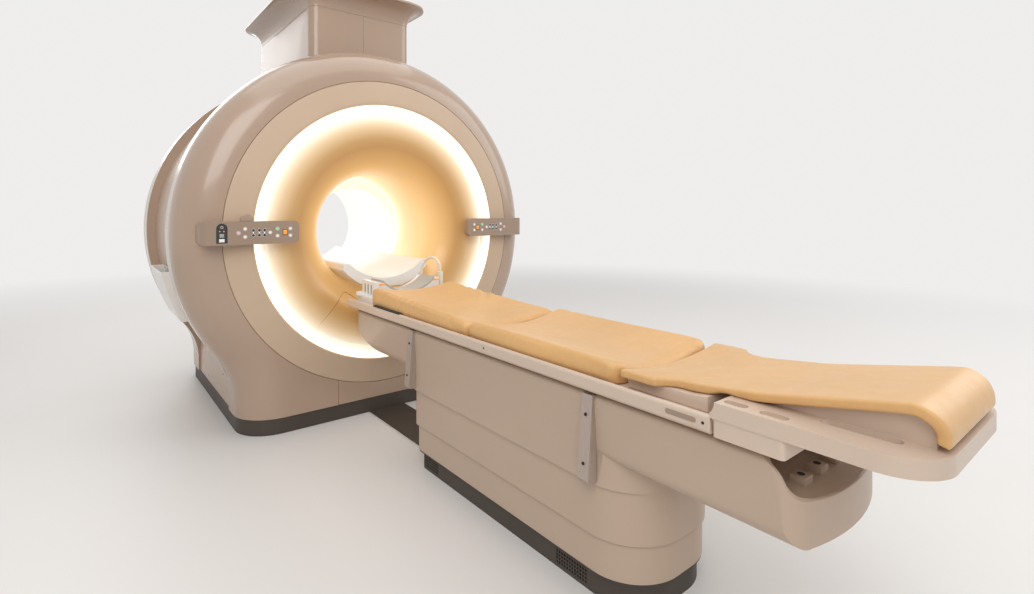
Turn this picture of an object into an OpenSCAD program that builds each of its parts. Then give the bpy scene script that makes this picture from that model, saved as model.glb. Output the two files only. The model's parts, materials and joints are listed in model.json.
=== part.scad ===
/* [Magnet covers] */
// Height of the bore axis above the floor
axis_h = 1068; // [1056:1:1084]
// Length of the magnet from the ring plane to the rear face
magnet_l = 1660; // [1620:10:1740]
// Outer radius of the round shell
shell_r = 1100; // [1085:1:1115]
// Rounding of the front edge of the shell
crown_r = 210; // [195:1:220]
// Rounding of the rear edge of the shell
rear_crown_r = 170; // [140:5:190]
// Rounding where the round shell runs into its straight base
flank_r = 400; // [380:5:420]
// The same rounding on the side covers
side_flank_r = 250; // [230:5:270]
// Thickness of the moulded covers
cover_t = 12; // [8:1:16]
// Length of the front cover along the bore
front_cover_l = 350; // [330:5:380]
// Length of the rear cover along the bore
rear_cover_l = 360; // [330:5:400]
// How far the side covers lie below the front cover
side_inset = 50; // [35:1:55]
// How far the shell stands behind the ring plane
shell_set = 25; // [20:1:30]
// Width of the centre panel below the ring
centre_panel_w = 600; // [500:10:700]
// Height of the dark plinth
plinth_h = 85; // [70:1:100]
// How far the plinth lies inside the shell
plinth_set = 6; // [4:1:8]
// Thickness of the plinth wall
plinth_t = 20; // [12:1:30]

/* [Bore] */
// Inner diameter of the bore
bore_d = 700; // [690:1:706]
// Thickness of the bore liner
liner_t = 10; // [6:1:14]
// Outer radius of the front ring
ring_r = 893; // [885:1:895]
// Outer radius of the light ring
light_r = 750; // [740:1:756]
// Inner radius of the light ring
light_in_r = 690; // [670:1:700]
// Radius of the curve of the front flare
flare_r = 250; // [235:1:260]
// Radius of the curve of the rear flare
rear_flare_r = 190; // [170:1:200]
// Outer radius of the rear flare
rear_flange_r = 620; // [600:1:640]
// Distance of the trim ring behind the ring plane
trim_y = 580; // [500:5:700]
// Radius of the opening of the trim ring
trim_r = 310; // [300:1:320]

/* [Inside the magnet] */
// How far the cryostat lies inside the shell
vessel_set = 170; // [150:1:190]
// Inner radius of the cryostat
vessel_in_r = 480; // [470:1:500]
// Length of the cryostat
vessel_l = 1200; // [1150:10:1240]
// Radius of the quench pipe
quench_r = 90; // [70:1:110]

/* [Ceiling column] */
// Width of the ceiling column
column_w = 674; // [640:2:700]
// Length of the ceiling column
column_l = 1200; // [1100:10:1220]
// Height of the seam below the collar
column_top = 2460; // [2440:5:2500]
// Radius of the curve of the collar
collar_r = 115; // [100:5:130]
// Height of the lip on the collar
collar_lip = 15; // [12:1:30]

/* [Control panels] */
// Height of a control panel
panel_h = 117; // [110:1:124]
// Distance of the inner end of a panel from the bore axis
panel_x0 = 540; // [530:1:550]
// Distance of the outer end of a panel from the bore axis
panel_x1 = 1005; // [995:1:1015]
// How far a panel stands in front of the ring plane
panel_proud = 45; // [40:1:50]
// Radius of a key
key_r = 11; // [9:0.5:12]
// How far a key stands proud
key_proud = 2; // [1.6:0.1:3]
// Travel of a key
key_travel = 1.5; // [1:0.1:1.5]

/* [Table] */
// Width of the beam
beam_w = 500; // [480:2:510]
// Height of the upper edge of the beam
beam_top = 640; // [630:1:645]
// Height of the underside of the beam
beam_bottom = 440; // [430:1:450]
// Distance of the nose of the beam from the ring plane
beam_gap = 15; // [12:1:25]
// Distance of the foot end of the beam from the ring plane
beam_end = 2515; // [2480:5:2540]
// Thickness of the table covers
table_t = 8; // [5:1:9]
// Width of the upper pedestal cover
pedestal_w = 480; // [470:2:490]
// Distance of the front of the pedestal from the ring plane
pedestal_y0 = 720; // [700:5:740]
// Distance of the rear of the pedestal from the ring plane
pedestal_y1 = 2060; // [2040:5:2080]
// Height of the lower edge of the upper cover
upper_z = 363; // [350:1:370]
// Height of the lower edge of the middle cover
middle_z = 200; // [195:1:205]
// Height of the dark table plinth
table_plinth_h = 83; // [75:1:90]
// Running clearance between covers that slide
slide_gap = 1; // [0.6:0.1:2]

/* [Tabletop] */
// Width of the tabletop over its rails
board_w = 540; // [530:2:550]
// Height of the underside of the rails
board_z0 = 651; // [649:1:655]
// Height of the upper edge of the rails
board_z1 = 698; // [694:1:702]
// Distance of the head end of the tabletop from the ring plane
board_y0 = 25; // [20:1:40]
// Distance where the foot frame begins
board_y1 = 2290; // [2275:5:2300]
// Distance of the foot end of the foot frame
foot_y1 = 2745; // [2730:5:2760]
// Width of the cushions
cushion_w = 500; // [490:2:506]
// Thickness of the cushions at their long edges
cushion_t = 62; // [56:1:68]
// How deep the cushions are dished along the middle
cushion_dish = 30; // [20:1:36]

/* [Hidden] */
$fn = 96;
fit = 0.3;
ring_y = -magnet_l / 2;
rear_y = magnet_l / 2;
seam_y0 = ring_y + front_cover_l;
seam_y1 = rear_y - rear_cover_l;
seam_gap = 2;
bore_r = bore_d / 2;
side_r = shell_r - side_inset;
vessel_r = shell_r - vessel_set;

// The flank's centre lies on a line four across and three down from the bore axis,
// so the round shell, the flank and the straight base meet at whole numbers
flank_run = 0.8;
flank_fall = 0.6;
base_half = base_x(shell_r, flank_r);
far = 3000;
web_over = 2 * cover_t;
plinth_y0 = ring_y + shell_set + plinth_set;
plinth_y1 = rear_y - plinth_set;
panel_z = axis_h + 12;
panel_y = ring_y - panel_proud;
panel_round = 26;
column_y0 = seam_y0 + 30;
column_y1 = column_y0 + column_l;
column_round = 60;
column_t = 8;
vessel_y0 = -vessel_l / 2 + 20;
vessel_y1 = vessel_l / 2 + 20;
flare_y = ring_y + 35;
turret_top = axis_h + vessel_r + 30;
beam_y0 = ring_y - beam_gap;
beam_y1 = ring_y - beam_end;
ped_y0 = ring_y - pedestal_y0;
ped_y1 = ring_y - pedestal_y1;
head_y = ring_y - board_y0;
foot_y = ring_y - board_y1;
end_y = ring_y - foot_y1;
key_body = 7.5;
key_depth = key_body + key_travel + 1;
key_clear = 0.4;

// Distance of each key from the bore axis and its height over the panel's centre line
key_spots = [
    [833, 0], [803, 20], [803, -20], [685, 0],
    [649, 18], [649, -18], [585, 18], [585, -18]
];
// Places of the dark indicator discs along a panel
disc_spots = [765, 737, 712];
amber_x = 611;
key_colours = ["pink", "white", "white", "white", "mediumseagreen", "white", "white", "white"];

// Route of the cable of the head coil, chosen by hand
cable_path = [
    [182, -892, 800.3], [182, -892, 816], [184, -896, 840], [189, -906, 866], [196, -922, 890],
    [206, -942, 904], [218, -964, 908], [229, -984, 898], [237, -998, 880], [242, -1008, 858],
    [243, -1010, 840], [243, -1010, 826]
];
cable_r = 8;

// Bridge through the bore: its rim, width, dip and ends
bridge_top = axis_h - 183;
bridge_w = 540;
bridge_dip = 95;
bridge_rim = 35;
bridge_y0 = ring_y + 30;
bridge_y1 = rear_y - 130;

// How far the plinth of the table, and its inner face, lie inside the upper cover
plinth_d = 3 * (table_t + slide_gap) + 8;
plinth_in = plinth_d + table_t;
vent_rows = 5;
vent_pitch = 12;
vent_hole = 8;

// Lift columns: base tubes, stage tubes and rods one inside the other
column_spots = [ped_y0 - 330, ped_y1 + 330];
base_tube_r = 70;
tube_t = 7.5;
stage_z0 = 113;
stage_z1 = 480;
head_z = 600;

// Beam: curve of the nose and the drop of the upper edge at the foot end
nose_r = 670;
nose_l = 440;
drop = 100;
drop_r = 70;
end_half = 185;
end_depth = 50;

// The arc of the foot end and its corners meet on a line seven across and twenty-four back
tail_across = 0.28;
tail_back = 0.96;
tail_arc = 1.4 * beam_w;
tail_corner = 0.15 * beam_w;
tail_y = beam_y1 + tail_arc;

// Deck inside the foot end of the beam, below its bowl
deck_z = 530;
deck_l = 300;

// Tabletop, foot frame and head coil
tray_d = 16;
tray_z = board_z1 - tray_d;
arm_z = 735;
pad_y0 = ring_y - 290;
pad_y1 = ring_y - 1200;
pad_y2 = ring_y - 1987;
pad_gap = 3;

// Ramp of the foot frame and the roll at its end, both under the foot cushion
ramp_y = end_y + 366;
roll_y = end_y + 65;
roll_z = arm_z + 26;
roll_r = 35;
coil_y0 = ring_y - 40;
coil_y1 = ring_y - 285;
coil_w = 400;
coil_top = 800;
trough_z = 960;
trough_r = 230;

// Turns an outline of radius and depth about the bore axis
module about_bore() {
    translate([0, 0, axis_h])
        rotate([-90, 0, 0])
            rotate_extrude()
                children();
}

// Runs an outline of width and height along the bore
module along_y(y0, y1) {
    translate([0, y1, 0])
        rotate([90, 0, 0])
            linear_extrude(y1 - y0)
                children();
}

// Runs an outline of depth and height across the bore
module along_x(x0, x1) {
    translate([x0, 0, 0])
        rotate([90, 0, 90])
            linear_extrude(x1 - x0)
                children();
}

// Raises a plan outline
module along_z(z0, z1) {
    translate([0, 0, z0])
        linear_extrude(z1 - z0)
            children();
}

module both_sides() {
    children();
    mirror([1, 0, 0])
        children();
}

// Rectangle with four round corners
module round_rect(x0, x1, y0, y1, r) {
    translate([x0 + r, y0])
        square([x1 - x0 - 2 * r, y1 - y0]);
    translate([x0, y0 + r])
        square([x1 - x0, y1 - y0 - 2 * r]);
    for (x = [x0 + r, x1 - r])
        for (y = [y0 + r, y1 - r])
            translate([x, y])
                circle(r);
}

// Half width of the straight base, and the height at which it ends, below a round shell of radius r
function base_x(r, flank) = flank_run * (r + flank) - flank;
function base_z(r, flank) = axis_h - flank_fall * (r + flank);

// Section of a shell with one rounded edge; d runs away from the axis, y along the bore
module crown_profile(r, y0, y1, crown) {
    intersection() {
        union() {
            translate([0, y0])
                square([r - crown, y1 - y0]);
            translate([0, y0 + crown])
                square([r, y1 - y0 - crown]);
            if (crown > 0)
                translate([r - crown, y0 + crown])
                    circle(crown);
        }
        translate([0, y0])
            square([r, y1 - y0]);
    }
}

// Solid inside the shell: round part, flank and straight base, all with one rounded front edge
module shell_solid(r, flank, crown, y0, y1, t, z0) {
    w = base_x(r, flank);
    z1 = base_z(r, flank);
    fx = w + flank;
    intersection() {
        about_bore()
            crown_profile(r - t, y0 + t, y1, crown - t);
        along_y(y0 - 1, y1 + 1)
            polygon([[0, axis_h], [fx, z1], [far, z1], [far, far], [-far, far], [-far, z1], [-fx, z1]]);
    }
    both_sides()
        intersection() {
            translate([fx, 0, z1])
                rotate([-90, 0, 0])
                    rotate_extrude()
                        flank_profile(flank + t, r + flank, y0 + t, y1, crown - t);
            along_y(y0 - 1, y1 + 1)
                polygon([[0, axis_h], [fx, z1], [0, z1]]);
        }
    along_z(z0, z1)
        base_plan(w - t, y0 + t, y1, crown - t);
}

module flank_profile(d0, d1, y0, y1, crown) {
    intersection() {
        union() {
            translate([d0, y0 + crown])
                square([d1 - d0, y1 - y0 - crown]);
            translate([d0 + crown, y0])
                square([d1 - d0 - crown, y1 - y0]);
            if (crown > 0)
                translate([d0 + crown, y0 + crown])
                    circle(crown);
        }
        translate([d0, y0])
            square([d1 - d0, y1 - y0]);
    }
}

module base_plan(w, y0, y1, crown) {
    intersection() {
        union() {
            translate([-w + crown, y0])
                square([2 * (w - crown), y1 - y0]);
            translate([-w, y0 + crown])
                square([2 * w, y1 - y0 - crown]);
            if (crown > 0)
                for (s = [-1, 1])
                    translate([s * (w - crown), y0 + crown])
                        circle(crown);
        }
        translate([-w, y0])
            square([2 * w, y1 - y0]);
    }
}

// The inner solid ends short of the seam, so that each cover keeps a web there
module shell_front(t, z0) {
    shell_solid(shell_r, flank_r, crown_r, ring_y + shell_set, seam_y0 - seam_gap / 2 - t, t, z0);
}

module shell_rear(t, z0) {
    mirror([0, 1, 0])
        shell_solid(shell_r, flank_r, rear_crown_r, -rear_y, -seam_y1 - seam_gap / 2 - t, t, z0);
}

// Solid inside the side covers, which have no rounded edge
module shell_sides(t, over) {
    shell_solid(side_r, side_flank_r, t, seam_y0 + seam_gap / 2 - t - over, seam_y1 - seam_gap / 2 + over, t,
        plinth_h - over);
}

module centre_panel_block(gap) {
    half = centre_panel_w / 2 - gap;
    translate([-half, ring_y - 100, 0])
        cube([2 * half, 100 + shell_set + 6 * cover_t, axis_h]);
}

// Skirt frame with a cross tie under the isocentre
module plinth() {
    tie_w = 60;
    tie_h = 40;
    tie_half = base_half - plinth_set - plinth_t / 2;
    color("dimgray") {
        along_z(0, plinth_h)
            difference() {
                plinth_plan(0);
                plinth_plan(plinth_t);
            }
        translate([-tie_half, -tie_w / 2, 0])
            cube([2 * tie_half, tie_w, tie_h]);
    }
}

module plinth_plan(t) {
    half = base_half - plinth_set - t;
    round_rect(-half, half, plinth_y0 + t, plinth_y1 - t, crown_r - 2 * plinth_set - t);
}

module front_cover() {
    color("rosybrown")
        difference() {
            shell_front(0, plinth_h);
            shell_front(cover_t, plinth_h - 1);
            shell_sides(cover_t, web_over);
            about_bore()
                translate([0, ring_y - 10])
                    square([ring_r + seam_gap, 200]);
            centre_panel_block(0);
        }
}

module centre_panel() {
    color("rosybrown")
        intersection() {
            difference() {
                shell_front(0, plinth_h);
                shell_front(cover_t, plinth_h - 1);
                about_bore()
                    translate([0, ring_y - 10])
                        square([ring_r + seam_gap, 200]);
            }
            centre_panel_block(seam_gap);
        }
}

module front_ring() {
    color("tan")
        about_bore()
            translate([0, ring_y])
                polygon([
                    [ring_r, shell_set], [light_r + 25, 2], [light_r + 5, 4], [light_r + 1, 12],
                    [light_r + 1, 30], [light_r + 25, 24], [ring_r - 13, 46], [ring_r + 22, 46],
                    [ring_r + 22, shell_set + cover_t + 1.9], [ring_r, shell_set + cover_t + 1.9]
                ]);
}

module light_ring() {
    color("lightyellow")
        about_bore()
            translate([0, ring_y])
                polygon([
                    [light_r + 0.7, 6], [light_in_r, 34], [light_in_r, 46], [light_r + 0.7, 26]
                ]);
}

module flare_profile(r, y0, r_out, t) {
    centre = [bore_r + r, y0 + r];
    intersection() {
        difference() {
            translate(centre)
                circle(r);
            translate(centre)
                circle(r - t);
        }
        translate([bore_r, y0])
            square([r, r]);
    }
    translate([bore_r + r, y0])
        square([r_out - bore_r - r, t]);
}

module flare_wall() {
    about_bore()
        flare_profile(flare_r, flare_y, light_in_r - fit, liner_t);
}

// Points of an arc about a centre, from angle a0 to a1
function arc_points(c, r, a0, a1, n) =
    [for (i = [0 : n]) let (a = a0 + (a1 - a0) * i / n) c + r * [cos(a), sin(a)]];

// Outline of the access panel low in the flare, with two round shoulders
module flare_panel_outline(gap) {
    r = 34 - gap;
    shoulder = [236, axis_h - 389];
    apex = [96, axis_h - 448 - gap];
    side = [535 - gap, axis_h - 648];
    right = concat([apex], arc_points(shoulder, r, 130, 45, 6), [side]);
    left = [for (i = [len(right) - 1 : -1 : 0]) [-right[i][0], right[i][1]]];
    polygon(concat(left, right, [[side[0], 0], [-side[0], 0]]));
}

module flare() {
    color("sandybrown")
        difference() {
            flare_wall();
            along_y(ring_y - 10, ring_y + 400)
                flare_panel_outline(0);
        }
}

module flare_panel() {
    color("sandybrown")
        intersection() {
            flare_wall();
            along_y(ring_y - 10, ring_y + 400)
                flare_panel_outline(3);
        }
}

module bore_liner() {
    color("white")
        about_bore()
            translate([bore_r, flare_y + flare_r])
                square([liner_t, rear_y - rear_flare_r - flare_y - flare_r]);
}

module trim_ring() {
    depth = 40;
    color("ivory")
        along_y(ring_y + trim_y, ring_y + trim_y + depth)
            difference() {
                translate([0, axis_h])
                    circle(bore_r - fit);
                translate([0, axis_h - bore_r + trim_r])
                    circle(trim_r);
                translate([-bore_r, 0])
                    square([bore_d, bridge_top + 8]);
            }
}

module side_cover(side) {
    mirror([side, 0, 0])
        difference() {
            shell_sides(0, 0);
            shell_sides(cover_t, 1);
            translate([-far, -far, 0])
                cube([far + seam_gap / 2, 2 * far, far]);
            along_z(axis_h, far)
                round_rect(-column_w / 2 + 40, column_w / 2 - 40, column_y0 + 40, column_y1, 30);
        }
}

module side_cover_left() {
    color("tan")
        side_cover(1);
}

module side_cover_right() {
    color("tan")
        side_cover(0);
}

module rear_cover() {
    color("rosybrown")
        difference() {
            shell_rear(0, plinth_h);
            shell_rear(cover_t, plinth_h - 1);
            shell_sides(cover_t, web_over);
            about_bore()
                translate([0, rear_y - 200])
                    square([rear_flange_r + seam_gap, 210]);
            along_z(axis_h, far)
                round_rect(-column_w / 2 + 40, column_w / 2 - 40, column_y0 + 40, column_y1 - 40, 30);
        }
}

module rear_flare() {
    lap = 20;
    lap_t = 8;
    color("white")
        mirror([0, 1, 0])
            about_bore() {
                flare_profile(rear_flare_r, -rear_y, rear_flange_r, liner_t);
                translate([rear_flange_r - lap, -rear_y + liner_t / 2])
                    square([lap, cover_t + fit + lap_t - liner_t / 2]);
                translate([rear_flange_r - lap, -rear_y + cover_t + fit])
                    square([2 * lap, lap_t]);
            }
}

// Vacuum vessel with its feet, service turret and quench pipe, welded together
module cryostat() {
    foot_w = 900;
    foot_l = 160;
    color("lightsteelblue")
        difference() {
            union() {
                about_bore()
                    translate([0, vessel_y0])
                        square([vessel_r, vessel_l]);
                for (y = [vessel_y0 + 120, vessel_y1 - 120 - foot_l])
                    translate([-foot_w / 2, y, 0])
                        cube([foot_w, foot_l, axis_h - vessel_r + 200]);
                translate([-250, 0, axis_h])
                    cube([500, 450, turret_top - axis_h]);
                translate([-110, 300, axis_h])
                    cylinder(r = quench_r, h = column_top + collar_r - axis_h);
            }
            about_bore()
                translate([0, vessel_y0 - 1])
                    square([vessel_in_r, vessel_l + 2]);
        }
}

module gradient_coil() {
    y0 = flare_y + flare_r + 5;
    y1 = rear_y - rear_flare_r - 40;
    color("darkkhaki")
        about_bore()
            translate([bore_r + liner_t + fit, y0])
                square([vessel_in_r - bore_r - liner_t - fit, y1 - y0]);
}

module cold_head() {
    color("silver")
        translate([130, 180, turret_top]) {
            cylinder(r = 95, h = 20);
            translate([0, 0, 20])
                cylinder(r = 65, h = 190);
            translate([0, 0, 210])
                cylinder(r = 78, h = 60);
        }
}

module column_wall() {
    difference() {
        along_z(axis_h + side_r - 200, column_top)
            difference() {
                round_rect(-column_w / 2, column_w / 2, column_y0, column_y1, column_round);
                round_rect(-column_w / 2 + column_t, column_w / 2 - column_t,
                    column_y0 + column_t, column_y1 - column_t, column_round - column_t);
            }
        about_bore()
            translate([0, column_y0 - 50])
                square([side_r, seam_y1 - seam_gap / 2 - column_y0 + 50]);
        mirror([0, 1, 0])
            about_bore()
                crown_profile(shell_r, -rear_y, -seam_y1 + seam_gap / 2, rear_crown_r);
    }
}

module column_half(side) {
    color("rosybrown")
        intersection() {
            column_wall();
            mirror([side, 0, 0])
                translate([seam_gap / 2, -far, 0])
                    cube([far, 2 * far, far]);
        }
}

module column_left() {
    column_half(1);
}

module column_right() {
    column_half(0);
}

// Section of the collar: a concave curve that flares outwards, then a lip
module collar_profile() {
    difference() {
        translate([-column_t, 0])
            square([collar_r + column_t, collar_r + collar_lip]);
        translate([collar_r, 0])
            circle(collar_r);
    }
}

module collar() {
    half = column_w / 2 - column_round;
    mid_y = (column_y0 + column_y1) / 2;
    long_half = column_l / 2 - column_round;
    color("rosybrown")
        translate([0, mid_y, column_top]) {
            for (s = [0, 1])
                mirror([s, 0, 0])
                    translate([half + column_round, long_half, 0])
                        rotate([90, 0, 0])
                            linear_extrude(2 * long_half)
                                collar_profile();
            for (s = [0, 1])
                mirror([0, s, 0])
                    translate([-half, long_half + column_round, 0])
                        rotate([90, 0, 90])
                            linear_extrude(2 * half)
                                collar_profile();
            for (sx = [0, 1])
                for (sy = [0, 1])
                    mirror([sx, 0, 0])
                        mirror([0, sy, 0])
                            translate([half, long_half, 0])
                                intersection() {
                                    rotate_extrude()
                                        translate([column_round, 0])
                                            collar_profile();
                                    cube(column_round + 2 * collar_r);
                                }
        }
}

// Height of the bore wall at a distance x from the axis
function wall_z(x) = axis_h - sqrt(pow(bore_r - fit, 2) - x * x);

module bridge() {
    half = bridge_w / 2;
    chord = half - bridge_rim;
    arc = (chord * chord + bridge_dip * bridge_dip) / (2 * bridge_dip);
    under = [for (x = [-half, -240, -170, -100, 100, 170, 240, half]) [x, wall_z(x)]];
    color("white")
        along_y(bridge_y0, bridge_y1)
            difference() {
                polygon(concat([[half, bridge_top], [-half, bridge_top]], under));
                translate([0, bridge_top - bridge_dip + arc])
                    circle(arc);
            }
}

// Control panel: a bar that stands on the front ring and ends on the shell
module control_panel(side) {
    depth = 46;
    outer = 60;
    mirror([side, 0, 0])
        difference() {
            intersection() {
                along_y(panel_y - 1, ring_y + 120)
                    round_rect(panel_x0, panel_x1, panel_z - panel_h / 2, panel_z + panel_h / 2, panel_round);
                along_z(panel_z - panel_h, panel_z + panel_h)
                    union() {
                        translate([panel_x0, panel_y])
                            square([panel_x1 - outer - panel_x0, depth]);
                        translate([light_r + 5, panel_y + outer])
                            square([panel_x1 - light_r - 5, 60]);
                        translate([light_r + 5, panel_y])
                            square([panel_x1 - outer - light_r - 5, 100]);
                        translate([panel_x1 - outer, panel_y + outer])
                            circle(outer);
                    }
            }
            about_bore()
                translate([0, ring_y])
                    polygon([
                        [light_r, 200], [light_r, 2], [light_r + 25, 2], [ring_r, shell_set],
                        [ring_r + seam_gap, shell_set], [ring_r + seam_gap, 200]
                    ]);
            about_bore()
                crown_profile(shell_r, ring_y + shell_set, seam_y0, crown_r);
            for (k = key_spots)
                translate([k[0], panel_y - 1, panel_z + k[1]])
                    rotate([-90, 0, 0])
                        cylinder(r = key_r + key_clear, h = key_depth + 1);
        }
}

module panel_left() {
    color("rosybrown")
        difference() {
            control_panel(1);
            translate([-907, 0, panel_z - 49])
                along_y(panel_y - 1, panel_y + 6)
                    arch(25, 98);
        }
}

module panel_right() {
    color("rosybrown")
        control_panel(0);
}

// Window outline with a round top, standing on its base line
module arch(half, h) {
    translate([-half, 0])
        square([2 * half, h - half]);
    translate([0, h - half])
        circle(half);
}

// Arched window, dark indicator discs and amber lamps of both panels
module panel_lamps() {
    proud = 1.2;
    color("darkslategray") {
        translate([-907, 0, panel_z - 49])
            along_y(panel_y + 2, panel_y + 6)
                arch(24.5, 97);
        both_sides()
            for (x = disc_spots)
                for (dz = [-13, 13])
                    translate([x, panel_y - proud, panel_z + dz])
                        rotate([-90, 0, 0])
                            cylinder(r = 10, h = proud);
    }
    color("orange")
        both_sides()
            translate([0, 0, panel_z])
                along_y(panel_y - proud, panel_y)
                    round_rect(amber_x - 12, amber_x + 12, -15, 15, 4);
}

// Sensor tab, a disc that is half hidden behind the upper edge of the left panel
module sensor_disc() {
    disc_r = 29;
    disc_x = ring_r - 107;
    edge_z = panel_z + panel_h / 2 + fit;
    color("rosybrown")
        difference() {
            translate([-disc_x, ring_y - 12, edge_z + 6])
                rotate([-90, 0, 0])
                    cylinder(r = disc_r, h = 40);
            translate([-disc_x - 50, ring_y - 50, edge_z - 50])
                cube([100, 100, 50]);
            about_bore()
                translate([0, ring_y])
                    polygon([
                        [light_r, 200], [light_r, 2], [light_r + 25, 2],
                        [ring_r, shell_set], [ring_r, 200]
                    ]);
        }
}

module key(side, i) {
    spot = key_spots[i];
    color(key_colours[i])
        mirror([side, 0, 0])
            translate([spot[0], panel_y - key_proud, panel_z + spot[1]])
                rotate([-90, 0, 0])
                    cylinder(r = key_r, h = key_body + key_proud);
}

// Wall pocket on the left side cover, open at the top
module side_pocket() {
    wall = 5;
    depth = 70;
    low = axis_h - 508;
    high = axis_h - 218;
    y0 = ring_y + 560;
    y1 = ring_y + 1060;
    color("gainsboro")
        difference() {
            along_y(y0, y1)
                intersection() {
                    difference() {
                        translate([0, axis_h])
                            circle(side_r + depth, $fn = 720);
                        translate([0, axis_h])
                            circle(side_r + fit, $fn = 720);
                    }
                    translate([-far, low])
                        square([far, high - low]);
                }
            along_y(y0 + wall, y1 - wall)
                intersection() {
                    difference() {
                        translate([0, axis_h])
                            circle(side_r + depth - wall, $fn = 720);
                        translate([0, axis_h])
                            circle(side_r + fit + wall, $fn = 720);
                    }
                    translate([-far, low + wall])
                        square([far, high - low]);
                }
        }
}

module floor_duct() {
    half = 110;
    y0 = ped_y0 - plinth_d + fit;
    color("dimgray")
        translate([-half, y0, 0])
            cube([2 * half, plinth_y0 - fit - y0, 8]);
}

// Plan of the pedestal: small corners in front, a nearly half round end at the rear
module pedestal_plan(w, y0, y1) {
    front_r = 40;
    rear_r = w / 2 - 40;
    translate([-w / 2 + front_r, y1 + rear_r])
        square([w - 2 * front_r, y0 - y1 - rear_r]);
    translate([-w / 2, y1 + rear_r])
        square([w, y0 - front_r - y1 - rear_r]);
    translate([-w / 2 + rear_r, y1])
        square([w - 2 * rear_r, rear_r + 1]);
    for (s = [-1, 1]) {
        translate([s * (w / 2 - front_r), y0 - front_r])
            circle(front_r);
        translate([s * (w / 2 - rear_r), y1 + rear_r])
            circle(rear_r);
    }
}

// One sliding cover of the pedestal; step counts inwards from the upper cover
module pedestal_cover(step, z0, z1) {
    d = step * (table_t + slide_gap);
    along_z(z0, z1)
        difference() {
            pedestal_plan(pedestal_w - 2 * d, ped_y0 - d, ped_y1 + d);
            pedestal_plan(pedestal_w - 2 * d - 2 * table_t, ped_y0 - d - table_t, ped_y1 + d + table_t);
        }
}

// Rows of square vent holes through the side wall of the plinth
module vent_holes(y0, y1) {
    for (y = [y0 : vent_pitch : y1])
        for (row = [0 : vent_rows - 1])
            translate([-far / 2, y, 14 + row * vent_pitch])
                cube([far, vent_hole, vent_hole]);
}

module table_plinth() {
    ledge = 6;
    ledge_d = 2 * (table_t + slide_gap) + 2;
    color("dimgray")
        difference() {
            union() {
                along_z(0, table_plinth_h)
                    pedestal_plan(pedestal_w - 2 * plinth_d, ped_y0 - plinth_d, ped_y1 + plinth_d);
                along_z(table_plinth_h - ledge, table_plinth_h)
                    pedestal_plan(pedestal_w - 2 * ledge_d, ped_y0 - ledge_d, ped_y1 + ledge_d);
            }
            along_z(-1, table_plinth_h + 1)
                pedestal_plan(pedestal_w - 2 * plinth_in, ped_y0 - plinth_in, ped_y1 + plinth_in);
            vent_holes(ped_y0 - 190, ped_y0 - 70);
            vent_holes(ped_y1 + 240, ped_y1 + 380);
        }
}

module table_base() {
    color("slategray") {
        difference() {
            union() {
                along_z(0, 10)
                    pedestal_plan(pedestal_w - 2 * plinth_in - 2 * fit, ped_y0 - plinth_in - fit,
                        ped_y1 + plinth_in + fit);
                for (y = column_spots)
                    translate([0, y, 10])
                        cylinder(r = base_tube_r, h = 320);
            }
            for (y = column_spots)
                translate([0, y, 10])
                    cylinder(r = base_tube_r - tube_t, h = 321);
        }
    }
}

module lift_stage() {
    outer = base_tube_r - tube_t - 0.5;
    color("silver")
        difference() {
            union() {
                for (y = column_spots)
                    translate([0, y, stage_z0])
                        cylinder(r = outer, h = stage_z1 - stage_z0);
                along_z(stage_z1, stage_z1 + 10)
                    pedestal_plan(pedestal_w - 4 * table_t - 2 * slide_gap - 0.6,
                        ped_y0 - 2 * table_t - slide_gap - 0.3, ped_y1 + 2 * table_t + slide_gap + 0.3);
            }
            for (y = column_spots)
                translate([0, y, stage_z0 - 1])
                    cylinder(r = outer - tube_t, h = stage_z1 - stage_z0 + 20);
        }
}

module lift_head() {
    rod = base_tube_r - 2 * tube_t - 1;
    rod_z0 = 215;
    head_half = pedestal_w / 2 - fit;
    color("lightslategray") {
        for (y = column_spots)
            translate([0, y, rod_z0])
                cylinder(r = rod, h = head_z - rod_z0);
        translate([-head_half, ped_y1 + 180, head_z])
            cube([2 * head_half, ped_y0 - ped_y1 - 300, 12]);
        for (s = [-1, 1])
            translate([s * 150 - 25, beam_y1 + 240, head_z + 12])
                cube([50, beam_y0 - beam_y1 - 420, board_z0 - head_z - 12 - fit]);
    }
}

module lower_cover() {
    color("lightgray")
        pedestal_cover(2, table_plinth_h, 330);
}

module middle_cover() {
    color("lightgray")
        pedestal_cover(1, middle_z, stage_z1 + 10);
}

// Section of the beam: a round lip at the top, a side that leans in and a round lower corner
module beam_section(t) {
    half = beam_w / 2 - t;
    foot = pedestal_w / 2 - t;
    lip = 20 - t / 2;
    corner = 50 - t;
    polygon([
        [-half + lip, beam_top - t], [half - lip, beam_top - t], [half, beam_top - t - lip],
        [foot, beam_bottom + t + corner], [foot - corner, beam_bottom + t],
        [-foot + corner, beam_bottom + t], [-foot, beam_bottom + t + corner], [-half, beam_top - t - lip]
    ]);
    for (s = [-1, 1]) {
        translate([s * (half - lip), beam_top - t - lip])
            circle(lip);
        translate([s * (foot - corner), beam_bottom + t + corner])
            circle(corner);
    }
}

// Side view of the beam: straight, with a nose that curves up in front
module beam_side(t) {
    over = 10;
    translate([beam_y1 - over, beam_bottom + t])
        square([beam_y0 - nose_l - beam_y1 + over, beam_top - beam_bottom - t]);
    intersection() {
        translate([beam_y0 - nose_l, beam_bottom])
            square([nose_l + over, beam_top - beam_bottom]);
        translate([beam_y0 - nose_l, beam_bottom + nose_r])
            circle(nose_r - t);
    }
}

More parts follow.
